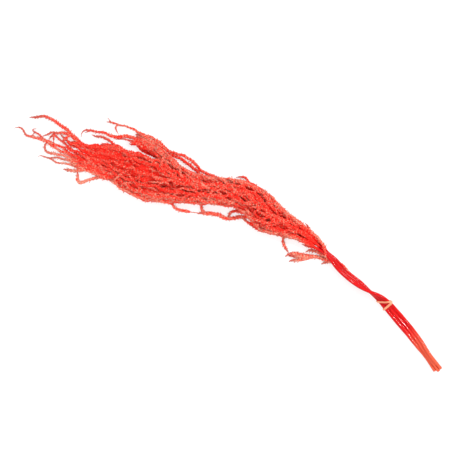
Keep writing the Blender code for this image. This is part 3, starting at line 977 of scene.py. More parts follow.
@dataclass
class Habit:
    """How one plant grows: its stem's cut, its head's axis, rows of tassels and listed ends.

    Rows are counted from the table up, each with the number of tassels and where its tips lie.
    Stray ends are placed by row and number of the tassel that runs out into them, and shoots by
    thickness and points. Filling, collar, crossing and laterals count the tassels that only the
    looks have. Every third filling tassel is short and lies among the tips.
    """

    seat: Seat
    cut: float
    axis: Stations
    rows: Sequence[tuple[int, float]]
    stray_ends: dict[tuple[int, int], Stations]
    shoots: Sequence[tuple[float, Stations]]
    slot: str
    filling: int
    collar: int
    crossing: int
    laterals: int
    heart_end: float
    flat_at: float
    stem_end: float = 262.0
    ribbon_points: int = 36
    point_spacing: float = 24.0
    axis_place: Pair = (0.5, 0.42)
    coarse_step: float = 6.5
    wave: float = 1.5
    wave_lengths: Pair = (60.0, 95.0)
    leave: Pair = (26.0, 30.0)
    root_near: float = 275.0
    root_sideways: float = 165.0
    root_upwards: float = 40.0
    root_first: float = 448.0
    root_scatter: float = 14.0
    tip_scatter: float = 26.0
    stray_lead: float = 16.0
    end_tassel_lead: float = 30.0
    comb_share: float = 0.75
    comb_length: float = 210.0
    comb_turn: float = 2.3
    comb_from: float = 320.0
    comb_growth: float = 70.0
    thickness: float = 1.95
    tassel_range: Pair = (0.86, 1.05)
    ring_range: Pair = (0.92, 1.08)
    swell_places: tuple[float, ...] = (0.0, 0.08, 0.8, 1.0)
    swell: tuple[float, ...] = (0.85, 1.12, 1.1, 0.85)
    filling_turn: float = 0.618
    filling_slip: float = 0.15
    short_roots: Pair = (190.0, 270.0)
    short_tips: Pair = (-6.0, 34.0)
    short_from: float = 80.0
    short_follow: float = 0.4
    crossing_levels: tuple[float, ...] = (0.94, 0.7, 0.84)
    crossing_edges: Pair = (0.05, 0.95)
    crossing_rise: Pair = (-0.2, 0.1)
    lateral_edges: Pair = (0.06, 0.94)
    lateral_turn: float = 1.5
    lateral_heading: float = 0.9
    lateral_lie: tuple[float, ...] = (-3.6, -0.8, 0.2, 0.1, -0.5, -1.4)
    collar_haste: float = 2.0

    def stem_route(self) -> Array:
        """Middle line of the stem: its place in the ribbon, then its axis through the head."""
        marks = np.linspace(self.cut, RIBBON.stations[-1][0], self.ribbon_points)
        ribbon = RIBBON.point(marks, self.seat.value)
        inner = np.arange(self.axis[-1][0] - self.point_spacing, self.stem_end, -self.point_spacing)
        inner = HEAP.room(self.seat, np.append(inner, self.stem_end), *self.axis_place)
        return smooth_route(np.vstack([ribbon, self.axis, inner]))

    def axis_points(self, along: Array) -> Array:
        """The head's axis: listed near the ribbon, and its share of the heap after."""
        free = HEAP.room(self.seat, along, *self.axis_place)
        near = np.stack([along, read_off(self.axis, along, 1), read_off(self.axis, along, 2)], -1)
        return np.where((along < self.axis[-1][0])[:, None], free, near)

    def combed(self, sideways: Array, upwards: float, along: Array) -> Array:
        """Share of the width after its row's waves, which leave the two borders where they are."""
        swing = np.sin(2 * math.pi * (along / self.comb_length + self.comb_turn * upwards))
        share = self.comb_share * np.clip((self.comb_from - along) / self.comb_growth, 0, 1)
        return sideways + share * swing * sideways * (1 - sideways)

    def lane(
        self, sideways: float, upwards: float, root: float, tip: float, draw: random.Random,
        stray: Stations = (), drift: float = 0.0, rise: float = 0.0, haste: float = 1.0,
    ) -> Array:
        """Points of a tassel that leaves the head's axis at its root and runs level with it.

        The way out of the axis is an S curve, and a sine carries the tassel from side to side.

        Args:
            sideways: share of the width that it runs along.
            upwards: share of the height that it runs along.
            root: where it leaves the axis, along the bunch.
            tip: where it ends, along the bunch.
            draw: the plant's seeded random numbers.
            stray: listed points that it runs out into.
            drift: share of the width by which it has moved over when it reaches its tip.
            rise: share of the height by which it has risen there.
            haste: how many times sooner than usual it reaches its lane.

        Returns:
            The points, one to a row, each with how stout the tassel is there.
        """
        phase = draw.uniform(0, 2 * math.pi)
        length = draw.uniform(*self.wave_lengths)
        wave = self.wave * 4 * sideways * (1 - sideways)
        out = self.leave[0] + self.leave[1] * abs(2 * (sideways - self.axis_place[0]))
        out /= haste
        if len(stray):
            tip = stray[0][0] + self.stray_lead
        marks = np.arange(root, tip + self.point_spacing / 2, -self.point_spacing)
        marks = np.append(marks, tip)
        reach = np.minimum((root - marks) / out, 1)
        reach = (reach * reach * (3 - 2 * reach))[:, None]
        over = (root - marks) / (root - tip)
        over = over * over * (3 - 2 * over)
        level = np.clip(upwards + rise * over, 0, 1)
        aside = np.clip(self.combed(sideways, upwards, marks) + drift * over, 0, 1)
        axis = self.axis_points(marks)
        points = axis + (HEAP.room(self.seat, marks, aside, level) - axis) * reach
        points[:, 1] += wave * reach[:, 0] * np.sin(2 * math.pi * marks / length + phase)
        points = np.column_stack([points, np.ones(len(points))])
        return np.vstack([points, stray]) if len(stray) else points

    def strand(self, points: Array, thickness: float, draw: random.Random, kind: Kind) -> Strand:
        """A tassel along the points, with a thickness that swells, tapers and varies by rings."""
        route = smooth_route(points)
        coarse = evenly_spaced(route, self.coarse_step)
        share = np.linspace(0, 1, len(coarse))
        vary = [draw.uniform(*self.ring_range) for _ in coarse]
        stout = coarse[:, 3] if coarse.shape[1] > 3 else 1.0
        radii = thickness * np.interp(share, self.swell_places, self.swell) * vary * stout
        return Strand(route[:, :3], radii, *kind.value)

    def sown_strand(self, points: Array, draw: random.Random, sown: Sowing) -> Strand:
        """A tassel along the points, of a thickness drawn from its kind's range."""
        return self.strand(points, self.thickness * draw.uniform(*sown.stoutness), draw, sown.kind)

    def sown_ends(self, draw: random.Random, sown: Sowing) -> Pair:
        """Root and tip of a tassel, drawn from its kind's ranges."""
        root = draw.uniform(*sown.roots)
        return root, max(root - draw.uniform(*sown.lengths), self.rows[-1][1] - sown.overrun)

    def strands(self, draw: random.Random) -> Iterator[Strand]:
        """The tassels that the solids have too, in the same order, from the same numbers."""
        for row, (count, tips) in enumerate(self.rows):
            upwards = row / (len(self.rows) - 1)
            for number in range(count):
                sideways = (number + 0.5) / count if row % 2 else number / (count - 1)
                aside = abs(2 * (sideways - self.axis_place[0]))
                above = abs(upwards - self.axis_place[1])
                root = self.root_near + self.root_sideways * aside + self.root_upwards * above
                root = min(root - draw.uniform(0, self.root_scatter), self.root_first)
                tip = tips + draw.uniform(-0.5, 0.5) * self.tip_scatter
                stray = self.stray_ends.get((row, number), ())
                points = self.lane(sideways, upwards, root, tip, draw, stray)
                thickness = self.thickness * draw.uniform(*self.tassel_range)
                kind = Kind.STRAY if len(stray) else Kind.ROW
                yield self.strand(points, thickness, draw, kind)
        root = self.stem_end + self.end_tassel_lead
        middle = self.lane(*self.axis_place, root, self.rows[0][1], draw)
        yield self.strand(middle, self.thickness, draw, Kind.MIDDLE)
        for thickness, points in self.shoots:
            yield self.strand(np.array(points, float), thickness, draw, Kind.SHOOT)

    def filling_strands(self, draw: random.Random) -> Iterator[Strand]:
        """Tassels deep in the heap, which wander across the others and close the view through."""
        tips = self.rows[0][1]
        for number in range(self.filling):
            upwards = draw.uniform(*FILLING.upwards)
            sideways = (number * self.filling_turn + draw.uniform(0, self.filling_slip)) % 1
            drift = draw.uniform(*FILLING.drift)
            root, tip = self.sown_ends(draw, FILLING)
            if number % 3 == 2:
                follow = self.short_follow * (tips - self.short_from)
                root = draw.uniform(*self.short_roots) + follow
                tip = tips + draw.uniform(*self.short_tips)
            points = self.lane(sideways, upwards, root, tip, draw, (), drift)
            yield self.sown_strand(points, draw, FILLING)

    def crossing_strands(self, draw: random.Random) -> Iterator[Strand]:
        """Tassels on the upper side of the heap that cross the others."""
        levels = self.crossing_levels
        for number in range(self.crossing):
            upwards = levels[number % len(levels)] + draw.uniform(*CROSSING.upwards)
            sideways = draw.uniform(*self.crossing_edges)
            drift = draw.uniform(*CROSSING.drift) * (1 if sideways < 0.5 else -1)
            root, tip = self.sown_ends(draw, CROSSING)
            rise = draw.uniform(*self.crossing_rise)
            points = self.lane(sideways, upwards, root, tip, draw, (), drift, rise)
            yield self.sown_strand(points, draw, CROSSING)

    def lateral_strands(self, draw: random.Random) -> Iterator[Strand]:
        """Short side tassels that curl out of the upper side of the heap and lie down on it."""
        count = len(self.lateral_lie)
        nearest, farthest = LATERAL.roots
        start_level, end_level = LATERAL.upwards
        for _ in range(self.laterals):
            root = draw.uniform(self.rows[-1][1] + nearest, farthest)
            length = draw.uniform(*LATERAL.lengths)
            turn = draw.uniform(-self.lateral_turn, self.lateral_turn)
            heading = draw.uniform(-self.lateral_heading, self.lateral_heading)
            heading = heading + turn * np.linspace(0, 1, count)
            marks = root - np.cumsum(np.cos(heading)) * length / count
            sideways = draw.uniform(*self.lateral_edges)
            start = HEAP.room(self.seat, np.array([root]), sideways, start_level)[0]
            across = np.cumsum(np.sin(heading)) * length / count
            room = HEAP.room(self.seat, marks, sideways, end_level)
            points = np.column_stack([marks, start[1] + across, room[:, 2]])
            points[:, 2] += self.lateral_lie
            points[:, 1] = self.kept_in(points)
            yield self.sown_strand(points, draw, LATERAL)

    def collar_strands(self, draw: random.Random) -> Iterator[Strand]:
        """Tassels that leave the stem just where the head begins, their stalks bare at first."""
        for number in range(self.collar):
            sideways = (number + 0.5) / self.collar
            root = draw.uniform(*COLLAR.roots)
            tip = root - draw.uniform(*COLLAR.lengths)
            upwards = draw.uniform(*COLLAR.upwards)
            points = self.lane(sideways, upwards, root, tip, draw, haste=self.collar_haste)
            yield self.sown_strand(points, draw, COLLAR)

    def kept_in(self, points: Array) -> Array:
        """Place across of each point, kept inside the outline of the heap."""
        low = read_off(HEAP.bottom, points[:, 0]) + HEAP.margin
        high = read_off(HEAP.top, points[:, 0]) - HEAP.margin
        return np.clip(points[:, 1], low, high)


HABITS = (
    Habit(
        seat=Seat.LOWER,
        cut=698.5,
        axis=((470, 65.2, 11.0), (455, 65.6, 9.8), (438, 65.6, 8.6), (420, 63.2, 8.4),
              (402, 58.6, 8.6)),
        rows=((3, 88), (2, 100), (3, 122), (2, 150)),
        stray_ends={
            (0, 0): ((110, -5, 2.2, 1), (102, -6, 2.2, 1), (95, -7.5, 2, 0.9),
                     (86, -10.5, 2, 0.85), (78, -13.4, 2, 0.85), (70, -14.2, 2, 0.8),
                     (62, -13.8, 2, 0.7), (57, -15, 2, 0.6), (54, -17.5, 2, 0.5),
                     (53.4, -20, 2, 0.4)),
            (0, 1): ((76, 4.2, 2.4, 1), (62, 4.2, 2, 1), (52, 4.2, 2, 1), (42, 3.8, 2, 1),
                     (36, 2.5, 2, 1), (30, 1.2, 2, 0.95), (24, -0.8, 2, 0.9), (18, 1, 2, 0.85),
                     (10, 3.4, 2, 0.7), (6, 1, 2, 0.5), (3.6, -2, 2, 0.35)),
            (0, 2): ((78, 8.4, 2.4, 1.1), (60, 8, 2.2, 1.15), (50, 6.8, 2, 1.1), (42, 7, 2, 1),
                     (36, 8, 2, 0.9), (30, 8.5, 2, 0.8), (27, 10, 2, 0.7), (28, 12, 2, 0.65),
                     (31, 14, 2, 0.55)),
            (1, 0): ((92, 1, 3.2, 1.1), (80, -1.6, 2.4, 1.1), (70, -4.5, 2.2, 1.1),
                     (62, -6, 2.2, 1.1), (56, -5.4, 2.2, 1.05), (53, -2, 2.2, 1),
                     (53, 3, 2.2, 0.95), (54, 8, 2.2, 0.85)),
            (2, 0): ((94, -2, 3, 1), (82, -6, 2.2, 1), (74, -9.5, 2, 0.95), (65, -13, 2, 0.8)),
        },
        shoots=(
            (1.6, ((46, 3.4, 2), (38, 2.6, 2), (33, 2.4, 2), (31, 4, 2), (31.5, 7.5, 2))),
            (2.1, ((118, -4.6, 2.2), (108, -10.6, 2), (100, -14, 2), (92.5, -16.4, 2))),
            (2.0, ((146, 0.6, 2.2), (140, -3.5, 2), (136, -8, 2), (130, -15, 2), (124, -20.5, 2),
                   (119, -20, 2), (115, -15, 2), (111, -9, 2))),
            (2.6, ((356, 56, 3.4), (349, 52, 3), (342, 47, 2.6), (335, 41.4, 2.6), (325, 38, 2.6),
                   (317, 37, 2.6), (308, 33.6, 2.6), (300, 29.8, 2.6), (294, 27.6, 2.6),
                   (290.6, 24, 2.6))),
            (2.0, ((350, 59, 4), (344, 56.6, 2.6), (338, 55, 2.2), (333, 52, 2.2), (330.6, 47, 2.2),
                   (330, 43, 2.4), (330, 39, 2.6))),
            (2.2, ((306, 32, 2.6), (300, 29.4, 2.4), (294, 31, 2.4), (290, 35.6, 2.4),
                   (285, 40.5, 4), (278, 42, 6))),
            (0.7, ((293, 26, 2), (287, 23.6, 1.2), (281, 21, 1.2), (277, 19.6, 1.4))),
            (1.9, ((280, 20.4, 2), (274, 18.9, 2), (266, 15.5, 2), (258, 14.4, 2), (252, 17.4, 2),
                   (247, 22, 3), (240, 24, 5))),
            (2.2, ((430, 64.5, 8.4), (418, 60, 6), (405, 55, 4), (390, 51, 2.4), (376, 48, 2.2),
                   (362, 46.5, 2.2))),
            (2.2, ((425, 62, 8), (410, 58, 6), (395, 55, 4), (380, 54, 3), (366, 57, 3),
                   (356, 60, 4))),
            (2.0, ((434, 64, 9), (420, 61, 7), (408, 56.5, 6), (392, 52.5, 5), (374, 50, 3.4),
                   (358, 49, 2.6), (346, 52, 2.6))),
            (1.8, ((420, 60, 5), (412.5, 58.2, 4), (414, 54, 2.4), (417.6, 49, 2), (421, 45, 2),
                   (425, 42.4, 2), (431, 40, 2))),
            (1.2, ((466, 74, 12.6), (471, 70.6, 14), (475, 66, 14), (479, 62, 11.6),
                   (483, 60.4, 7), (485, 59, 3.6), (482, 58.4, 2), (476, 57.4, 2))),
            (2.7, ((484, 59.4, 6.4), (478, 57.8, 3), (471, 56, 2.8), (464, 53, 2.8), (457, 49.6, 2.8),
                   (450, 47, 2.8), (443, 45, 2.8), (437, 42, 2.8), (432, 38, 2.8), (430, 33.4, 2.6))),
            (2.6, ((462, 50.6, 2.8), (455, 46.6, 2.8), (449, 43.4, 2.8), (443, 41, 2.8),
                   (437, 38.6, 2.8), (433, 37, 2.8))),
            (2.2, ((459, 47, 2.6), (453, 42.6, 2.4), (448, 39, 2.4), (443, 35.4, 2.4),
                   (440, 32.4, 2.2), (437.6, 29.2, 2.2))),
            (2.0, ((460, 52, 3), (453, 49, 3), (446, 47.4, 3), (439, 44.6, 3), (434, 41, 3))),
            (1.7, ((452, 46, 5.4), (446, 43.6, 6), (440, 40.6, 6), (436, 39.6, 5))),
            (2.1, ((480, 63, 10.8), (471, 61.6, 5), (463, 60.8, 2.6), (457, 59.4, 2.4),
                   (453, 57, 2.2), (450.6, 53.4, 2.2))),
            (2.3, ((492, 59.6, 9), (487.5, 58.6, 6), (484, 56.4, 3), (481.6, 53, 2.6),
                   (478.6, 49.8, 2.4))),
            (1.9, ((468, 65.6, 10), (460, 65, 7), (452, 62.6, 4), (446, 60.8, 3), (441, 60.6, 3))),
        ),
        slot="amaranth_deep",
        filling=18, collar=5, crossing=15, laterals=34, heart_end=112.0, flat_at=518.0,
    ),
    Habit(
        seat=Seat.MIDDLE,
        cut=700.0,
        axis=((470, 68.4, 6.4), (455, 71.0, 7.4), (438, 72.2, 8.4), (420, 71.8, 9.2),
              (402, 70.4, 10.0)),
        rows=((4, 80), (3, 92), (4, 112), (3, 140)),
        stray_ends={
            (0, 0): ((84, 15, 2.4, 1), (70, 16, 2.2, 1), (62, 18, 2.2, 1), (56, 19, 2.2, 1),
                     (53.6, 15, 2.2, 1), (53.4, 11, 2.2, 0.9), (55, 8.6, 2.4, 0.8)),
            (0, 1): ((84, 19, 2.4, 1), (75, 21, 2.4, 1), (68, 22.6, 2.2, 1), (63, 25, 2, 1)),
            (0, 2): ((92, 30, 3.4, 1.2), (80, 31.6, 3.6, 1.25), (66, 34.2, 2.8, 1.25),
                     (56, 36.2, 2.6, 1.25), (46, 36.8, 2.5, 1.25), (38, 36, 2.5, 1.25),
                     (30, 33, 2.5, 1.2), (22, 28.5, 2.4, 1.15), (14.4, 23.4, 2.4, 1.1)),
            (1, 1): ((94, 27, 4, 1), (84, 29.5, 3.4, 1.1), (76, 30, 3, 1.1), (68, 28.6, 2.6, 1.1),
                     (62, 25.6, 2.4, 1.05), (57, 22, 2.2, 1), (52, 18.5, 2, 0.9),
                     (47, 13, 2, 0.85), (43.6, 9.6, 2, 0.8)),
            (1, 2): ((150, 45, 5, 1), (140, 43.6, 4, 1), (130, 39, 2.6, 0.9),
                     (122, 35.6, 2.4, 0.8)),
            (0, 3): ((150, 50, 2.4, 1.1), (140, 50.4, 2.2, 1.1), (128, 51, 2.2, 1.1),
                     (118, 50, 2.2, 1.1), (110, 48, 2.2, 1), (103.4, 46, 2.2, 0.9)),
        },
        shoots=(
            (2.0, ((90, 29, 4), (83, 30.6, 5), (77.5, 29.6, 5), (74.6, 25.4, 4.6), (73.4, 20, 4),
                   (74.4, 16, 4), (78, 13.6, 3.6))),
            (1.7, ((58, 20, 4), (58.4, 16, 4.4), (60.6, 12, 4), (62.4, 9.4, 3))),
            (1.5, ((96, 29, 3), (90, 27.2, 2.4), (84, 23.8, 2))),
            (2.0, ((150, 47, 4), (138, 46.4, 2.6), (128, 44.6, 2), (121, 36.4, 2))),
        ),
        slot="amaranth",
        filling=21, collar=5, crossing=18, laterals=44, heart_end=104.0, flat_at=614.0,
    ),
    Habit(
        seat=Seat.UPPER,
        cut=697.0,
        axis=((470, 71.0, 2.6), (455, 75.6, 4.0), (438, 79.0, 6.0), (420, 81.2, 7.6),
              (402, 82.4, 9.2)),
        rows=((3, 158), (2, 166), (3, 180), (2, 200)),
        stray_ends={
            (2, 2): ((286, 82, 5, 1), (272, 78.6, 3, 1), (262, 80, 2.2, 1), (253, 84, 2.2, 1),
                     (245, 85.4, 2.2, 1), (235, 85, 2.2, 1), (225, 83, 2.2, 1),
                     (215, 81.5, 2.2, 1), (205, 81.7, 2.2, 1), (198, 83.5, 2.2, 1),
                     (185, 84.5, 2.2, 1), (175, 84.5, 2.2, 1), (165, 83, 2.2, 1),
                     (152, 82, 2, 0.85), (142, 80.6, 2, 0.75), (134, 78.8, 2, 0.7),
                     (126, 77.2, 2, 0.75), (118, 76, 2, 0.7), (110.6, 77.6, 2, 0.5)),
            (0, 2): ((256, 77, 2.2, 1), (243, 78.8, 2, 1), (230, 79, 2, 1), (219, 77.5, 2, 1),
                     (208, 76, 2, 1), (198, 76, 2, 1.1), (188, 77.6, 2.2, 1.1),
                     (176, 79, 2.2, 1.15), (166, 79.4, 2.2, 1.15), (158, 79, 2.2, 1.1)),
            (1, 1): ((200, 72.5, 4, 1), (184, 73.4, 3, 1.1), (170, 73.4, 2.4, 1.1),
                     (157, 72.6, 2.2, 1.15), (150, 69.4, 2.2, 1.15), (141, 64.4, 2.2, 1.1),
                     (134, 60.4, 2.2, 1), (124, 57.4, 2.2, 1), (112, 55.6, 2, 0.95),
                     (104, 52.2, 2, 0.9), (98, 49.6, 2, 0.85), (93, 47, 2, 0.75),
                     (91, 43.6, 2, 0.5), (90, 39, 2, 0.45), (91.2, 35.6, 2, 0.4)),
            (0, 1): ((205, 66, 2.2, 1), (195, 64, 2.2, 1), (186, 62.4, 2, 1), (178, 62, 2, 0.95),
                     (172, 64.4, 2, 0.95), (166, 67.4, 2, 0.9), (160, 67.6, 2, 0.8),
                     (152, 64.6, 2, 0.7), (142, 60.8, 2, 0.65), (133, 57.4, 2, 0.6)),
        },
        shoots=(
            (1.5, ((124, 76.6, 2), (118, 74.8, 2), (113, 71.8, 2))),
            (1.2, ((134, 78.8, 2), (128.6, 76.6, 2), (128, 72, 2), (131.4, 69, 2), (136, 65.6, 2))),
            (1.1, ((99, 50, 2), (96.4, 46.6, 2), (94, 43.6, 2))),
            (2.2, ((206, 75, 4), (192, 77, 4), (178, 77.6, 4), (167, 77, 3.4), (157.6, 77, 3))),
            (2.3, ((214, 72.6, 6), (200, 74, 6), (186, 75.4, 6), (172, 75.6, 5), (160, 75.4, 4))),
            (2.2, ((208, 70.4, 4), (196, 71, 3.4), (182, 71.4, 3), (170, 71.4, 3), (160, 70.6, 3))),
            (1.8, ((212, 79.6, 2.6), (200, 80.6, 4), (188, 81.4, 4), (176, 81.4, 4),
                   (164, 80.6, 4), (157, 80, 3))),
            (1.6, ((350, 98.4, 9), (339, 99.6, 7.6), (330, 99, 5.6), (326, 101, 4), (322, 101.8, 3),
                   (318, 99.6, 2.6), (312.4, 96, 2.4))),
            (1.9, ((345, 97, 10), (335, 96.4, 9), (326, 95.8, 7), (320, 94, 5), (312, 90, 4))),
            (1.8, ((460, 76, 6), (448, 81.4, 6), (438, 85, 5), (430, 88, 4))),
            (1.6, ((519, 58.6, 3), (512, 62, 2.4), (506, 64, 2.2), (501, 64.6, 2.2))),
            (2.1, ((474, 71, 5), (464, 76, 6.4), (452, 79.4, 8), (438, 82.4, 9), (422, 85, 10),
                   (404, 87.4, 10), (386, 92, 9))),
        ),
        slot="amaranth_light",
        filling=12, collar=5, crossing=10, laterals=24, heart_end=215.0, flat_at=657.0,
    ),
)


# Pieces


@dataclass(frozen=True)
class Floret:
    """Shape of one small blunt floret: a root, four points round its waist, and a tip.

    The waist's place, its width and its depth are shares of the floret's length, and sway is how
    far florets turn at random from the way they grow.
    """

    waist: float = 0.62
    wide: float = 0.34
    deep: float = 0.25
    sway: float = 0.18
    points: int = 6


FLORET = Floret()


def spindles(
    root: Array, reach: Array, along: Array, size: Array, rng: np.random.Generator
) -> dict[str, Array]:
    """Small blunt florets, each two fans from its root and its tip to the points of its waist.

    Args:
        root: where each starts.
        reach: which way it points, before a little random turn.
        along: a direction that its flat side faces.
        size: its length, in millimetres.
        rng: seeded random numbers.

    Returns:
        Their points and faces.
    """
    reach = unit(unit(reach) + FLORET.sway * rng.normal(size=root.shape))
    broad = unit(np.cross(reach, along))
    thick = np.cross(reach, broad)
    size = size[:, None]
    waist = root + reach * size * FLORET.waist
    wide, deep = broad * size * FLORET.wide, thick * size * FLORET.deep
    points = np.stack(
        [root, waist + wide, waist + deep, waist - wide, waist - deep, root + reach * size],
        axis=1,
    )
    fans = np.vstack([fan_faces(1, 4, 0, onward=False), fan_faces(1, 4, 5, onward=True)])
    faces = fans[None] + FLORET.points * np.arange(len(root))[:, None, None]
    return {"points": points.reshape(-1, 3), "triangles": faces.reshape(-1, 3)}


@dataclass
class TasselHead:
    """Seed head of one plant: its tassels as relief, and the florets that stand out of them.

    Knob, lump and jitter are shares of a tassel's thickness. The relief numbers turn a surface's
    swell into the tone that its material reads, so swollen parts are painted paler as painted
    light and sunken ones deeper red as painted shade.
    """

    habit: Habit
    knob: float = 0.16
    knob_range: Pair = (0.5, 1.2)
    lump: float = 0.26
    lump_length: float = 4.0
    lump_scale: Pair = (0.9, 0.25)
    lump_gain: float = 0.75
    second_wave: float = 0.83
    phase: float = 6.283
    jitter: float = 0.1
    slide: float = 0.3
    core: float = 0.9
    least_dressed: float = 0.2
    sunk: float = 0.74
    relief_level: float = 0.42
    relief_gain: float = 1.2
    relief_loose: float = 0.08
    relief_bare: float = 0.5
    relief_poles: Pair = (0.3, 0.8)
    tone_gain: float = 0.6
    # painted shade: tassels deep in the heap are painted a deeper red
    depth_shade: float = 0.5
    floret_length: Pair = (1.2, 2.2)
    floret_lean: Pair = (0.25, 1.1)
    floret_turn: float = 137.508
    floret_wander: float = 0.35
    floret_slip: float = 0.3
    floret_sizes: Pair = (0.4, 1.1)
    floret_growth: float = 0.35
    # painted light and shade: each floret is deeper red at its root and paler at its tip
    floret_relief: tuple[float, ...] = (0.3, 0.58, 0.58, 0.58, 0.58, 0.85)
    floret_tones: Pair = (0.14, 0.16)
    floret_start: Pair = (0.5, 0.4)

    def clusters(self, lengths: Array, angle: Array, seed: Array) -> Array:
        """Clusters of florets, from -1 to 1: two sines that wind round in opposite directions."""
        least, more = self.lump_scale
        wave = 2 * math.pi * lengths / (self.lump_length * (least + more * seed[0]))
        first = np.sin(wave + angle + self.phase * seed[1])
        second = np.sin(self.second_wave * wave - 2 * angle + self.phase * seed[2])
        return np.clip(self.lump_gain * (first + second), -1, 1)

    def tinted(self, relief: Array, tone: float, points: Array) -> Array:
        """Relief shifted by tone, painted light at the heap's edges and painted shade deep in the
        heap.
        """
        shift = self.tone_gain * (tone - 0.5) + HEAP.edge_light_and_base_tone(points)
        return np.clip(relief + (shift - self.depth_shade * HEAP.depth(points)), 0, 1)

    def core_surface(
        self, strand: Strand, route: Array, tone: float, seed: Array, rng: np.random.Generator
    ) -> dict[str, Any]:
        """Knobbly surface of one tassel.

        The radius at length s and angle a is the tassel's thickness there, times one plus three
        terms: knobs, up and down by turns from point to point and from ring to ring; the
        clusters of florets; and a small random part. Over its bare root the terms grow from
        nothing.

        Args:
            strand: the tassel.
            route: its middle line, evenly spaced.
            tone: its paleness, painted light on outer tassels and painted shade on inner ones.
            seed: three numbers from 0 to 1 that place its clusters.
            rng: seeded random numbers.

        Returns:
            Points, faces and values of its surface.
        """
        forward, aside, above = frames_along(route)
        lengths = lengths_along(route)
        rings, sides = len(route), strand.layer.value.sides
        radii = strand.radii_at(lengths) * self.core
        ring, side = np.meshgrid(np.arange(rings), np.arange(sides), indexing="ij")
        s, a = lengths[:, None], circle(sides)[None, :]
        by_turns = np.where((ring + side) % 2, 1.0, -1.0)
        knob = by_turns * rng.uniform(*self.knob_range, (rings, sides))
        lump = self.clusters(s, a, seed)
        loose = rng.uniform(-1, 1, (rings, sides))
        dressed = np.clip(s / max(strand.bare, 0.1), self.least_dressed, 1)
        swell = (self.knob * knob + self.lump * lump + self.jitter * loose) * dressed
        radius = radii[:, None] * (1 + swell)
        slide = strand.layer.value.ring_step * self.slide * rng.uniform(-1, 1, (rings, sides))
        around = turned(a, aside[:, None], above[:, None])
        points = route[:, None] + radius[..., None] * around + slide[..., None] * forward[:, None]
        points = points.reshape(-1, 3)
        # painted light and shade: swollen points are painted paler, sunken ones deeper red
        relief = self.relief_level + self.relief_gain * swell + self.relief_loose * loose
        relief = (relief - self.relief_bare * (1 - dressed)).ravel()
        poles = np.vstack([route[:1], route[-1:] + forward[-1:] * radii[-1]])
        return {
            "points": np.vstack([points, poles]),
            "quads": ring_faces(rings, sides),
            "triangles": end_faces(rings, sides),
            "relief": np.append(self.tinted(relief, tone, points), self.relief_poles),
            "fade": np.append(np.repeat(self.faded(strand, lengths), sides), [0.0, 1.0]),
        }

    def faded(self, strand: Strand, lengths: Array) -> Array:
        """How far the dye has dulled: from nothing up to one over the tassel's last stretch."""
        left = 1 - (lengths[-1] - lengths) / max(strand.fade, 1.0)
        return np.clip(left, 0, 1) * (1.0 if strand.layer is Layer.OUTSIDE else 0.5)

    def floret_surface(
        self, strand: Strand, route: Array, tone: float, seed: Array, rng: np.random.Generator
    ) -> dict[str, Any]:
        """Blunt florets that stand out of one tassel.

        They follow each other round the tassel by the golden angle, as florets grow. Each leans
        from straight out towards the tassel's tip, and is longer in a cluster.

        Args:
            strand: the tassel.
            route: its middle line, evenly spaced.
            tone: its paleness, painted light on outer tassels and painted shade on inner ones.
            seed: three numbers from 0 to 1 that place its clusters.
            rng: seeded random numbers.

        Returns:
            Points, faces and values of the florets.
        """
        lengths = lengths_along(route)
        total = lengths[-1]
        of_bare, of_total = self.floret_start
        start = min(strand.bare * of_bare, total * of_total)
        count = max(4, int((total - start) / strand.layer.value.floret_spacing))
        slip = rng.uniform(-self.floret_slip, self.floret_slip, count)
        s = np.sort(np.clip(np.linspace(start, total, count) + slip, 0, total))
        middle, along, across, up = (
            np.column_stack([np.interp(s, lengths, column) for column in line.T])
            for line in (route, *frames_along(route))
        )
        radii = np.interp(s, lengths, strand.radii_at(lengths))
        wander = rng.uniform(-self.floret_wander, self.floret_wander, count)
        angle = np.arange(count) * math.radians(self.floret_turn) + wander
        outward = turned(angle, across, up)
        lean = rng.uniform(*self.floret_lean, count)
        cluster = self.clusters(s, angle, seed)
        share = np.clip(radii / self.habit.thickness, *self.floret_sizes)
        share = share * (1 + self.floret_growth * cluster)
        root = middle + outward * (radii * self.core * (self.sunk + self.lump * cluster))[:, None]
        reach = turned(lean, outward, along)
        made = spindles(root, reach, along, rng.uniform(*self.floret_length, count) * share, rng)
        at_random, in_cluster = self.floret_tones
        varied = (rng.uniform(-at_random, at_random, count) + in_cluster * cluster)[:, None]
        relief = np.array(self.floret_relief)[None] + varied
        made["relief"] = self.tinted(relief.ravel(), tone, made["points"])
        made["fade"] = np.repeat(self.faded(strand, s), FLORET.points)
        return made

    def build(self, florets: bpy.types.Material) -> list[bpy.types.Object]:
        """Builds the head's tassels and florets.

        Args:
            florets: the florets' material.

        Returns:
            The pieces.
        """
        habit = self.habit
        word = habit.seat.word
        grown = random.Random(SEED + habit.seat.value)
        extra = random.Random(SEED + EXTRA_SEED + habit.seat.value)
        rng = np.random.default_rng(SEED + FLORET_SEED + habit.seat.value)
        groups = {
            "tassels": list(habit.strands(grown)),
            "inner_tassels": [*habit.filling_strands(extra), *habit.collar_strands(extra)],
            "top_tassels": [*habit.crossing_strands(extra), *habit.lateral_strands(extra)],
        }
        pieces = []
        for label, strands in groups.items():
            cores, tips = Skin(), Skin()
            for strand in strands:
                # painted light and shade: the layer's range gives outer tassels paler tones and inner
                # ones deeper
                tone = rng.uniform(*strand.layer.value.tones)
                shade, seed = rng.uniform(0, 1), rng.uniform(0, 1, 3)
                route = strand.route(rng)
                cores.add(strand=shade, **self.core_surface(strand, route, tone, seed, rng))
                tips.add(strand=shade, **self.floret_surface(strand, route, tone, seed, rng))
            pieces.append(cores.piece(f"{word}_{label}", [florets]))
            pieces.append(tips.piece(f"{word}_{label}_florets", [florets]))
        return pieces


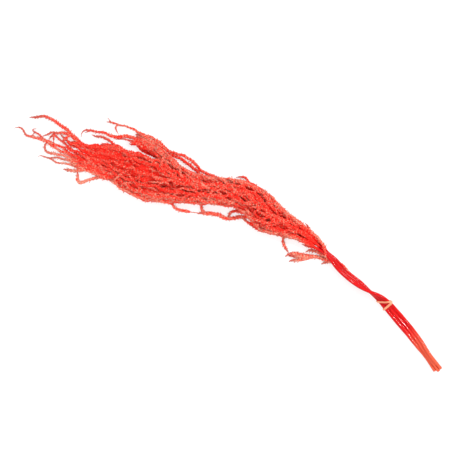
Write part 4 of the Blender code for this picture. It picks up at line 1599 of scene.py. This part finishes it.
@dataclass
class TangledHeart:
    """Tangle of short florets inside one head, seen only deep down between its tassels."""

    habit: Habit
    first: float = 458.0
    step: float = 2.4
    sides: int = 28
    wide: float = 0.53
    middle: float = 0.38
    tall: float = 0.39
    squareness: float = 0.7
    draw_in: float = 40.0
    least_full: float = 0.02
    roughness: float = 0.8
    florets: int = 2600
    floret_length: Pair = (1.8, 3.2)
    floret_tones: Pair = (0.1, 0.55)
    floret_sunk: float = 0.5
    floret_sweep: float = 4.0
    body_tone: float = 0.16
    bump_tone: float = 0.14
    pole_tone: float = 0.1

    def build(self, material: bpy.types.Material) -> bpy.types.Object:
        """Builds the heart as one rough body with florets on its upper side.

        It goes round the middle of the plant's share of the heap as a superellipse in shares of
        its width and height, drawn in towards both ends. Each point then moves at random.

        Args:
            material: the florets' material.

        Returns:
            The piece.
        """
        rng = np.random.default_rng(SEED + HEART_SEED + self.habit.seat.value)
        last = self.habit.heart_end
        along = np.arange(self.first, last, -self.step)
        rings = len(along)
        ends = np.minimum(self.first - along, along - last) / self.draw_in
        full = np.sqrt(np.clip(ends, self.least_full, 1))[:, None]
        cosine, sine = rounded(circle(self.sides), self.squareness)
        sideways = 0.5 - self.wide * full * cosine
        upwards = self.middle * np.sqrt(full) + self.tall * full * sine
        points = HEAP.room(self.habit.seat, along[:, None], sideways, upwards)
        bump = rng.uniform(-1, 1, (rings, self.sides))
        points += self.roughness * rng.uniform(-1, 1, points.shape)
        points[..., 2] += self.roughness * bump
        skin = Skin()
        skin.add(
            np.vstack([points.reshape(-1, 3), points[[0, -1]].mean(axis=1)]),
            ring_faces(rings, self.sides),
            end_faces(rings, self.sides),
            # painted light and shade: the heart's body takes a deep tone as painted shade, and its
            # raised points are painted paler
            relief=np.append(self.body_tone + self.bump_tone * bump.ravel(), [self.pole_tone] * 2),
            strand=0.3,
            fade=0.0,
        )
        ring = rng.integers(2, rings - 2, self.florets)
        side = rng.integers(0, self.sides // 2 + 1, self.florets)
        root = points[ring, side] - self.floret_sunk * UP
        reach = root - points[ring].mean(axis=1)
        reach[:, 0] = rng.uniform(-self.floret_sweep, 0, self.florets)
        size = rng.uniform(*self.floret_length, self.florets)
        made = spindles(root, reach, np.array([-1.0, 0.0, 0.0]), size, rng)
        tone = np.repeat(rng.uniform(*self.floret_tones, self.florets), FLORET.points)
        skin.add(strand=0.5, fade=0.0, relief=tone, **made)
        return skin.piece(f"{self.habit.seat.word}_heart", [material])


@dataclass(frozen=True)
class DyeAndFlankShade:
    """How the dye took on the stems, paler towards the cut ends, and the painted shade on both
    flanks.
    """

    paling: Stations = ((628, 0.0), (640, 0.15), (656, 0.55), (675, 0.8), (700, 0.95))
    # painted shade on both flanks of each stem
    flank_shading: float = 0.35
    narrowness: int = 5

    def pale(self, along: Array) -> Array:
        """How pale a stem is at places along the bunch."""
        return read_off(self.paling, along)

    def flank_shade(self, angle: Array) -> Array:
        """How much painted shade darkens a stem at angles round it, on both flanks: a high power of
        the cosine.
        """
        return self.flank_shading * np.abs(np.cos(angle)) ** self.narrowness


DYE_AND_SHADE = DyeAndFlankShade()


@dataclass
class RibbedStem:
    """Stem of one plant, from its cut end to where it is lost in the head."""

    habit: Habit
    sides: int = 25
    ring_step: float = 2.0
    faces: int = 5
    face_depth: float = 0.0415
    facing: float = 1.93
    fullness: float = 1.05
    twist_length: float = 1500.0
    joint_spacing: float = 47.0
    joint_shift: float = 11.0
    joint_first: float = 10.0
    joint_swell: float = 0.09
    joint_reach: float = 2.6
    rim_bevel: float = 0.35
    rim_shares: tuple[float, ...] = (0.84, 0.95, 1.0)
    end_point: float = 0.5
    cut_shares: tuple[float, ...] = (1.0, 0.86, 0.62, 0.45, 0.22)
    cut_depths: tuple[float, ...] = (0.0, 0.0, 0.06, 0.35, 0.42)

    def build(self, bark: bpy.types.Material, pith: bpy.types.Material) -> bpy.types.Object:
        """Builds the stem with its cut face.

        The radius at length s and angle a is the stem's radius there, times one plus a cosine of
        the angle that winds slowly along the stem and makes it five-sided with rounded corners,
        plus joints, low bell curves where leaves were stripped. The first rings close in on the
        cut face as a small bevel.

        Args:
            bark: the material of its outside.
            pith: the material of its cut face.

        Returns:
            The piece.
        """
        habit = self.habit
        route = evenly_spaced(habit.stem_route(), self.ring_step)
        bevel = np.array([0.0, self.rim_bevel * 0.5, self.rim_bevel])
        lengths = lengths_along(route)
        starts = np.column_stack([np.interp(bevel, lengths, column) for column in route.T])
        route = np.vstack([starts, route[1:]])
        lengths = lengths_along(route)
        forward, aside, above = frames_along(route)
        rings, sides = len(route), self.sides
        angle = circle(sides)
        twist = 2 * math.pi * (habit.flat_at - route[:, :1]) / self.twist_length
        sided = -np.cos(self.faces * (angle[None] - self.facing + twist))
        offset = lengths + self.joint_shift * habit.seat.value + self.joint_first
        offset = offset % self.joint_spacing - self.joint_spacing / 2
        joints = np.exp(-((offset / self.joint_reach) ** 2))[:, None]
        full = self.fullness + self.face_depth * sided * (1 - joints) + self.joint_swell * joints
        radius = read_off(RIBBON.radii, route[:, 0])[:, None] * full
        radius[: len(self.rim_shares)] *= np.array(self.rim_shares)[:, None]
        around = turned(angle[None], aside[:, None], above[:, None])
        points = route[:, None] + radius[..., None] * around
        flat = [lengths[:, None], radius * np.cos(angle)[None], radius * np.sin(angle)[None]]
        straight = np.stack(np.broadcast_arrays(*flat), axis=-1) * MM
        pale = np.broadcast_to(DYE_AND_SHADE.pale(route[:, :1]), radius.shape)
        skin = Skin()
        skin.add(
            np.vstack([points.reshape(-1, 3), route[-1:] + forward[-1:] * self.end_point]),
            ring_faces(rings, sides),
            fan_faces((rings - 1) * sides, sides, rings * sides, onward=True),
            straight=np.vstack([straight.reshape(-1, 3), [[lengths[-1] * MM, 0, 0]]]),
            fade=np.append(pale.ravel(), 0.0),
            # painted shade on both flanks
            pool=np.append(np.tile(DYE_AND_SHADE.flank_shade(angle), rings), 0.0),
            rim=1.0,
        )
        self.add_cut(skin, points[0], route[0], forward[0])
        return skin.piece(f"{habit.seat.word}_stem", [bark, pith])

    def add_cut(self, skin: Skin, edge: Array, middle: Array, forward: Array) -> None:
        """Adds the cut face: rings that draw in from the edge to the pith, which is sunk a little.

        Args:
            skin: the stem's surfaces, which end at the edge.
            edge: the points of the cut's edge.
            middle: the middle of the cut.
            forward: the direction into the stem.
        """
        shares, depths = np.array(self.cut_shares), np.array(self.cut_depths)
        count, sides = len(shares), len(edge)
        rings = middle + (edge - middle)[None] * shares[:, None, None]
        rings = rings + forward * depths[:, None, None]
        skin.add(
            np.vstack([rings.reshape(-1, 3), middle + forward * depths[-1]]),
            ring_faces(count, sides)[:, ::-1],
            fan_faces((count - 1) * sides, sides, count * sides, onward=False),
            finish=1,
            straight=np.zeros(3),
            fade=1.0,
            pool=0.0,
            rim=np.append(np.repeat(shares, sides), 0.0),
        )


@dataclass
class SideStalks:
    """Thin dried side stalks that lie in the grooves between the stems, on both faces."""

    places: tuple[float, ...] = (0.5, -0.5)
    ends: tuple[float, ...] = (696.0, 691.5, 698.0, 687.0)
    last: float = 470.0
    step: float = 2.4
    sides: int = 8
    radius: float = 0.85
    rise: float = 0.95
    wander: float = 0.06
    wander_length: float = 9.0
    swell: float = 0.1
    swell_length: float = 5.0
    fibre_shift: float = 9.0

    def build(self, bark: bpy.types.Material) -> bpy.types.Object:
        """Builds the stalks as one piece.

        Each is a tube that follows a place between two stems, raised square to the ribbon of
        stems, with a slow sine aside.

        Args:
            bark: the material of the stems' outside.

        Returns:
            The piece.
        """
        skin = Skin()
        angle = circle(self.sides)
        for number, first in enumerate(self.ends):
            face = 1 if number % 2 else -1
            marks = np.arange(first, self.last, -self.step)
            wander = self.wander * np.sin(marks / self.wander_length + number)
            place = self.places[number // 2] + wander
            _, aside, above = RIBBON.frame(marks, place)
            turn = np.radians(read_off(RIBBON.stations, marks, 2)) + math.pi / 2 * face
            route = RIBBON.point(marks, place) + self.rise * turned(turn, aside, above)
            _, aside, above = frames_along(route)
            swell = 1 + self.swell * np.sin(marks / self.swell_length + 2 * number)
            around = turned(angle[None], aside[:, None], above[:, None])
            points = route[:, None] + (self.radius * swell)[:, None, None] * around
            lengths = np.repeat(lengths_along(route), self.sides)
            around = np.tile(angle, len(marks))
            flat = [lengths, self.radius * np.cos(around) + self.fibre_shift * number,
                    self.radius * np.sin(around)]
            straight = np.column_stack(flat) * MM
            pale = np.repeat(DYE_AND_SHADE.pale(marks), self.sides)
            skin.add(
                np.vstack([points.reshape(-1, 3), route[[0, -1]]]),
                ring_faces(len(marks), self.sides),
                end_faces(len(marks), self.sides),
                straight=np.vstack([straight, straight[[0, -1]]]),
                fade=np.append(pale, pale[[0, -1]]),
                # painted shade on both flanks
                pool=np.append(DYE_AND_SHADE.flank_shade(around), [0.0, 0.0]),
            )
        return skin.piece("side_stalks", [bark])


@dataclass
class RubberBand:
    """Rubber band wound round the three stems twice: the two turns part on the lower side."""

    width: float = 3.3
    thickness: float = 1.1
    clearance: float = 0.48
    step_out: float = 0.3
    turns: tuple[Pair, ...] = ((589.0, 575.5), (589.0, 590.6))
    place: float = 583.0
    arc_points: int = 40
    flat_points: int = 24
    section_points: int = 20
    corner: float = 0.35
    stretch: float = 0.06

    def route(self, upper: float, lower: float, clearance: float) -> tuple[Array, Array, Array]:
        """One slanting turn round the ribbon of stems.

        Half circles run round the two outer stems, and straight runs join them over and under
        the middle one. The place along the bunch goes from one end of the slant to the other in
        proportion to the distance across.

        Args:
            upper: place along the bunch at the upper side, in millimetres.
            lower: place along the bunch at the lower side.
            clearance: distance kept from the stems.

        Returns:
            The points, the stems' direction at each, and the way out from the stems.
        """
        reach = read_off(RIBBON.radii, self.place) + clearance
        middle, swing = (upper + lower) / 2, (upper - lower) / 2
        middle_turn = math.radians(read_off(RIBBON.stations, middle, 2))
        step = read_off(RIBBON.stations, middle, 3) * math.cos(middle_turn)
        half = np.linspace(-math.pi / 2, math.pi / 2, self.arc_points)
        flat = np.linspace(1, -1, self.flat_points + 2)[1:-1]
        place = np.concatenate([np.ones_like(half), flat, -np.ones_like(half), -flat])
        angle = np.concatenate([half, np.full_like(flat, math.pi / 2), half + math.pi,
                                np.full_like(flat, -math.pi / 2)])
        sideways = place * step + reach * np.cos(angle + middle_turn)
        along = middle + swing * sideways / (step + reach)
        turn = angle + np.radians(read_off(RIBBON.stations, along, 2))
        direction, aside, above = RIBBON.frame(along, place)
        outward = turned(turn, aside, above)
        return RIBBON.point(along, place) + reach * outward, direction, outward

    def add_turn(self, skin: Skin, upper: float, lower: float, clearance: float, seed: int) -> None:
        """Adds one turn: a flat section with rounded corners, carried along its route.

        The section is a superellipse. The width and the thickness vary slowly along the band, as
        stretched rubber does.

        Args:
            skin: the band's surfaces.
            upper: place along the bunch at the upper side, in millimetres.
            lower: place along the bunch at the lower side.
            clearance: distance kept from the stems.
            seed: number that tells this turn's variation from the other's.
        """
        points, direction, outward = self.route(upper, lower, clearance)
        count = len(points)
        cosine, sine = rounded(circle(self.section_points), self.corner)
        wide, deep = cosine * self.width / 2, (1 + sine) * self.thickness / 2
        vary = 1 - self.stretch * (1 + np.sin(2 * circle(count)[:, None] + seed)) / 2
        grid = (
            points[:, None]
            + (wide[None] * vary)[..., None] * direction[:, None]
            + (deep[None] * vary)[..., None] * outward[:, None]
        )
        lengths = np.cumsum(np.linalg.norm(points - np.roll(points, 1, axis=0), axis=1))
        flat = np.broadcast_arrays(lengths[:, None], wide[None], deep[None])
        straight = np.stack(flat, axis=-1) * MM
        points = grid.reshape(-1, 3)
        faces = ring_faces(count, self.section_points, closed=True)
        faces = faces[:, ::-1] if faces_in(points, faces) else faces
        skin.add(points, faces, straight=straight.reshape(-1, 3))

    def build(self, rubber: bpy.types.Material) -> bpy.types.Object:
        """Builds both turns of the band as one piece, in its rubber."""
        skin = Skin()
        for number, (upper, lower) in enumerate(self.turns):
            clearance = self.clearance + number * self.step_out
            self.add_turn(skin, upper, lower, clearance, number)
        return skin.piece("wound_rubber_band", [rubber])


def faces_in(points: Array, quads: Array) -> bool:
    """Whether a closed surface of quads faces inwards, from the sign of its volume."""
    a, b, c, d = (points[quads[:, n]] for n in range(4))
    volume = np.einsum("ij,ij->i", a, np.cross(b, c)) + np.einsum("ij,ij->i", a, np.cross(c, d))
    return bool(volume.sum() < 0)


@dataclass(frozen=True)
class Softbox:
    """One soft light: where it hangs and its two sides in metres, and its power in watts."""

    name: str
    place: tuple[float, float, float]
    size: Pair
    power: float

    def hang(self) -> None:
        """Hangs the light so that it faces the middle of the bunch."""
        lamp = bpy.data.lights.new(self.name, "AREA")
        lamp.shape, lamp.energy = "RECTANGLE", self.power
        lamp.size, lamp.size_y = self.size
        hung = bpy.data.objects.new(self.name, lamp)
        hung.location = self.place
        aim = unit(np.array(self.place))
        hung.rotation_euler = (math.acos(aim[2]), 0.0, math.atan2(aim[1], aim[0]) + math.pi / 2)
        bpy.context.scene.collection.objects.link(hung)


@dataclass
class Studio:
    """White light table, soft light from above, and a camera that looks straight down."""

    middle: Pair = (-19.25, -10.73)
    roll: float = 29.96
    frame_width: float = 639.0
    camera_height: float = 2000.0
    focus_height: float = 9.0
    sensor_width: float = 36.0
    sight: float = 20.0
    table_size: float = 8.0
    sky: float = 1.0
    lights: tuple[Softbox, ...] = (
        Softbox("key_softbox", (1.06, 1.12, 1.3), (0.18, 0.16), 18.0),
        Softbox("side_softbox", (0.38, 1.12, 1.3), (0.3, 0.3), 8.0),
        Softbox("fill_softbox", (-1.05, -1.2, 1.4), (1.5, 1.5), 17.0),
    )

    def build(self) -> None:
        """Builds the table, the lights, the surroundings and the camera."""
        scene = bpy.context.scene
        scene.view_settings.view_transform = "Standard"
        self.table()
        for light in self.lights:
            light.hang()
        world = bpy.data.worlds.new("white studio")
        world.use_nodes = True
        background = world.node_tree.nodes["Background"]
        background.inputs["Color"].default_value = linear("#FFFFFF")
        background.inputs["Strength"].default_value = self.sky
        scene.world = world
        lens = bpy.data.cameras.new("overhead")
        lens.sensor_width = self.sensor_width
        lens.lens = self.sensor_width * (self.camera_height - self.focus_height) / self.frame_width
        lens.clip_end = self.sight
        camera = bpy.data.objects.new("overhead_camera", lens)
        camera.location = (self.middle[0] * MM, self.middle[1] * MM, self.camera_height * MM)
        camera.rotation_euler = (0.0, 0.0, math.radians(self.roll))
        scene.collection.objects.link(camera)
        scene.camera = camera

    def table(self) -> None:
        """Builds the table top that the bunch lies on."""
        half = self.table_size / 2
        corners = [(-half, -half, 0), (half, -half, 0), (half, half, 0), (-half, half, 0)]
        mesh = bpy.data.meshes.new("table_top")
        mesh.from_pydata(corners, [], [(0, 1, 2, 3)])
        mesh.materials.append(TableTop().material())
        top = bpy.data.objects.new("table_top", mesh)
        bpy.context.scene.collection.objects.link(top)


# The whole bunch


def place_piece(piece: bpy.types.Object, slot: str, node: str) -> None:
    """Ties a finished piece to the bunch's root, and hides the part that it stands for."""
    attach(piece, "root")
    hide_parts(node)


def main() -> None:
    """Builds every piece in order, and the studio."""
    logging.basicConfig(level=logging.INFO, format="%(name)s: %(message)s")
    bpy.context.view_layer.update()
    florets = DyedFlorets().material()
    bark = DyedStem().material()
    pith = CutPith().material()
    for habit in HABITS:
        node = f"amaranth_{habit.seat.word}"
        place_piece(RibbedStem(habit).build(bark, pith), habit.slot, node)
        place_piece(TangledHeart(habit).build(florets), habit.slot, node)
        for piece in TasselHead(habit).build(florets):
            place_piece(piece, habit.slot, node)
    place_piece(SideStalks().build(bark), "amaranth", "amaranth_middle")
    place_piece(RubberBand().build(BandRubber().material()), "band", "rubber_band")
    Studio().build()


if __name__ == "__main__":
    main()
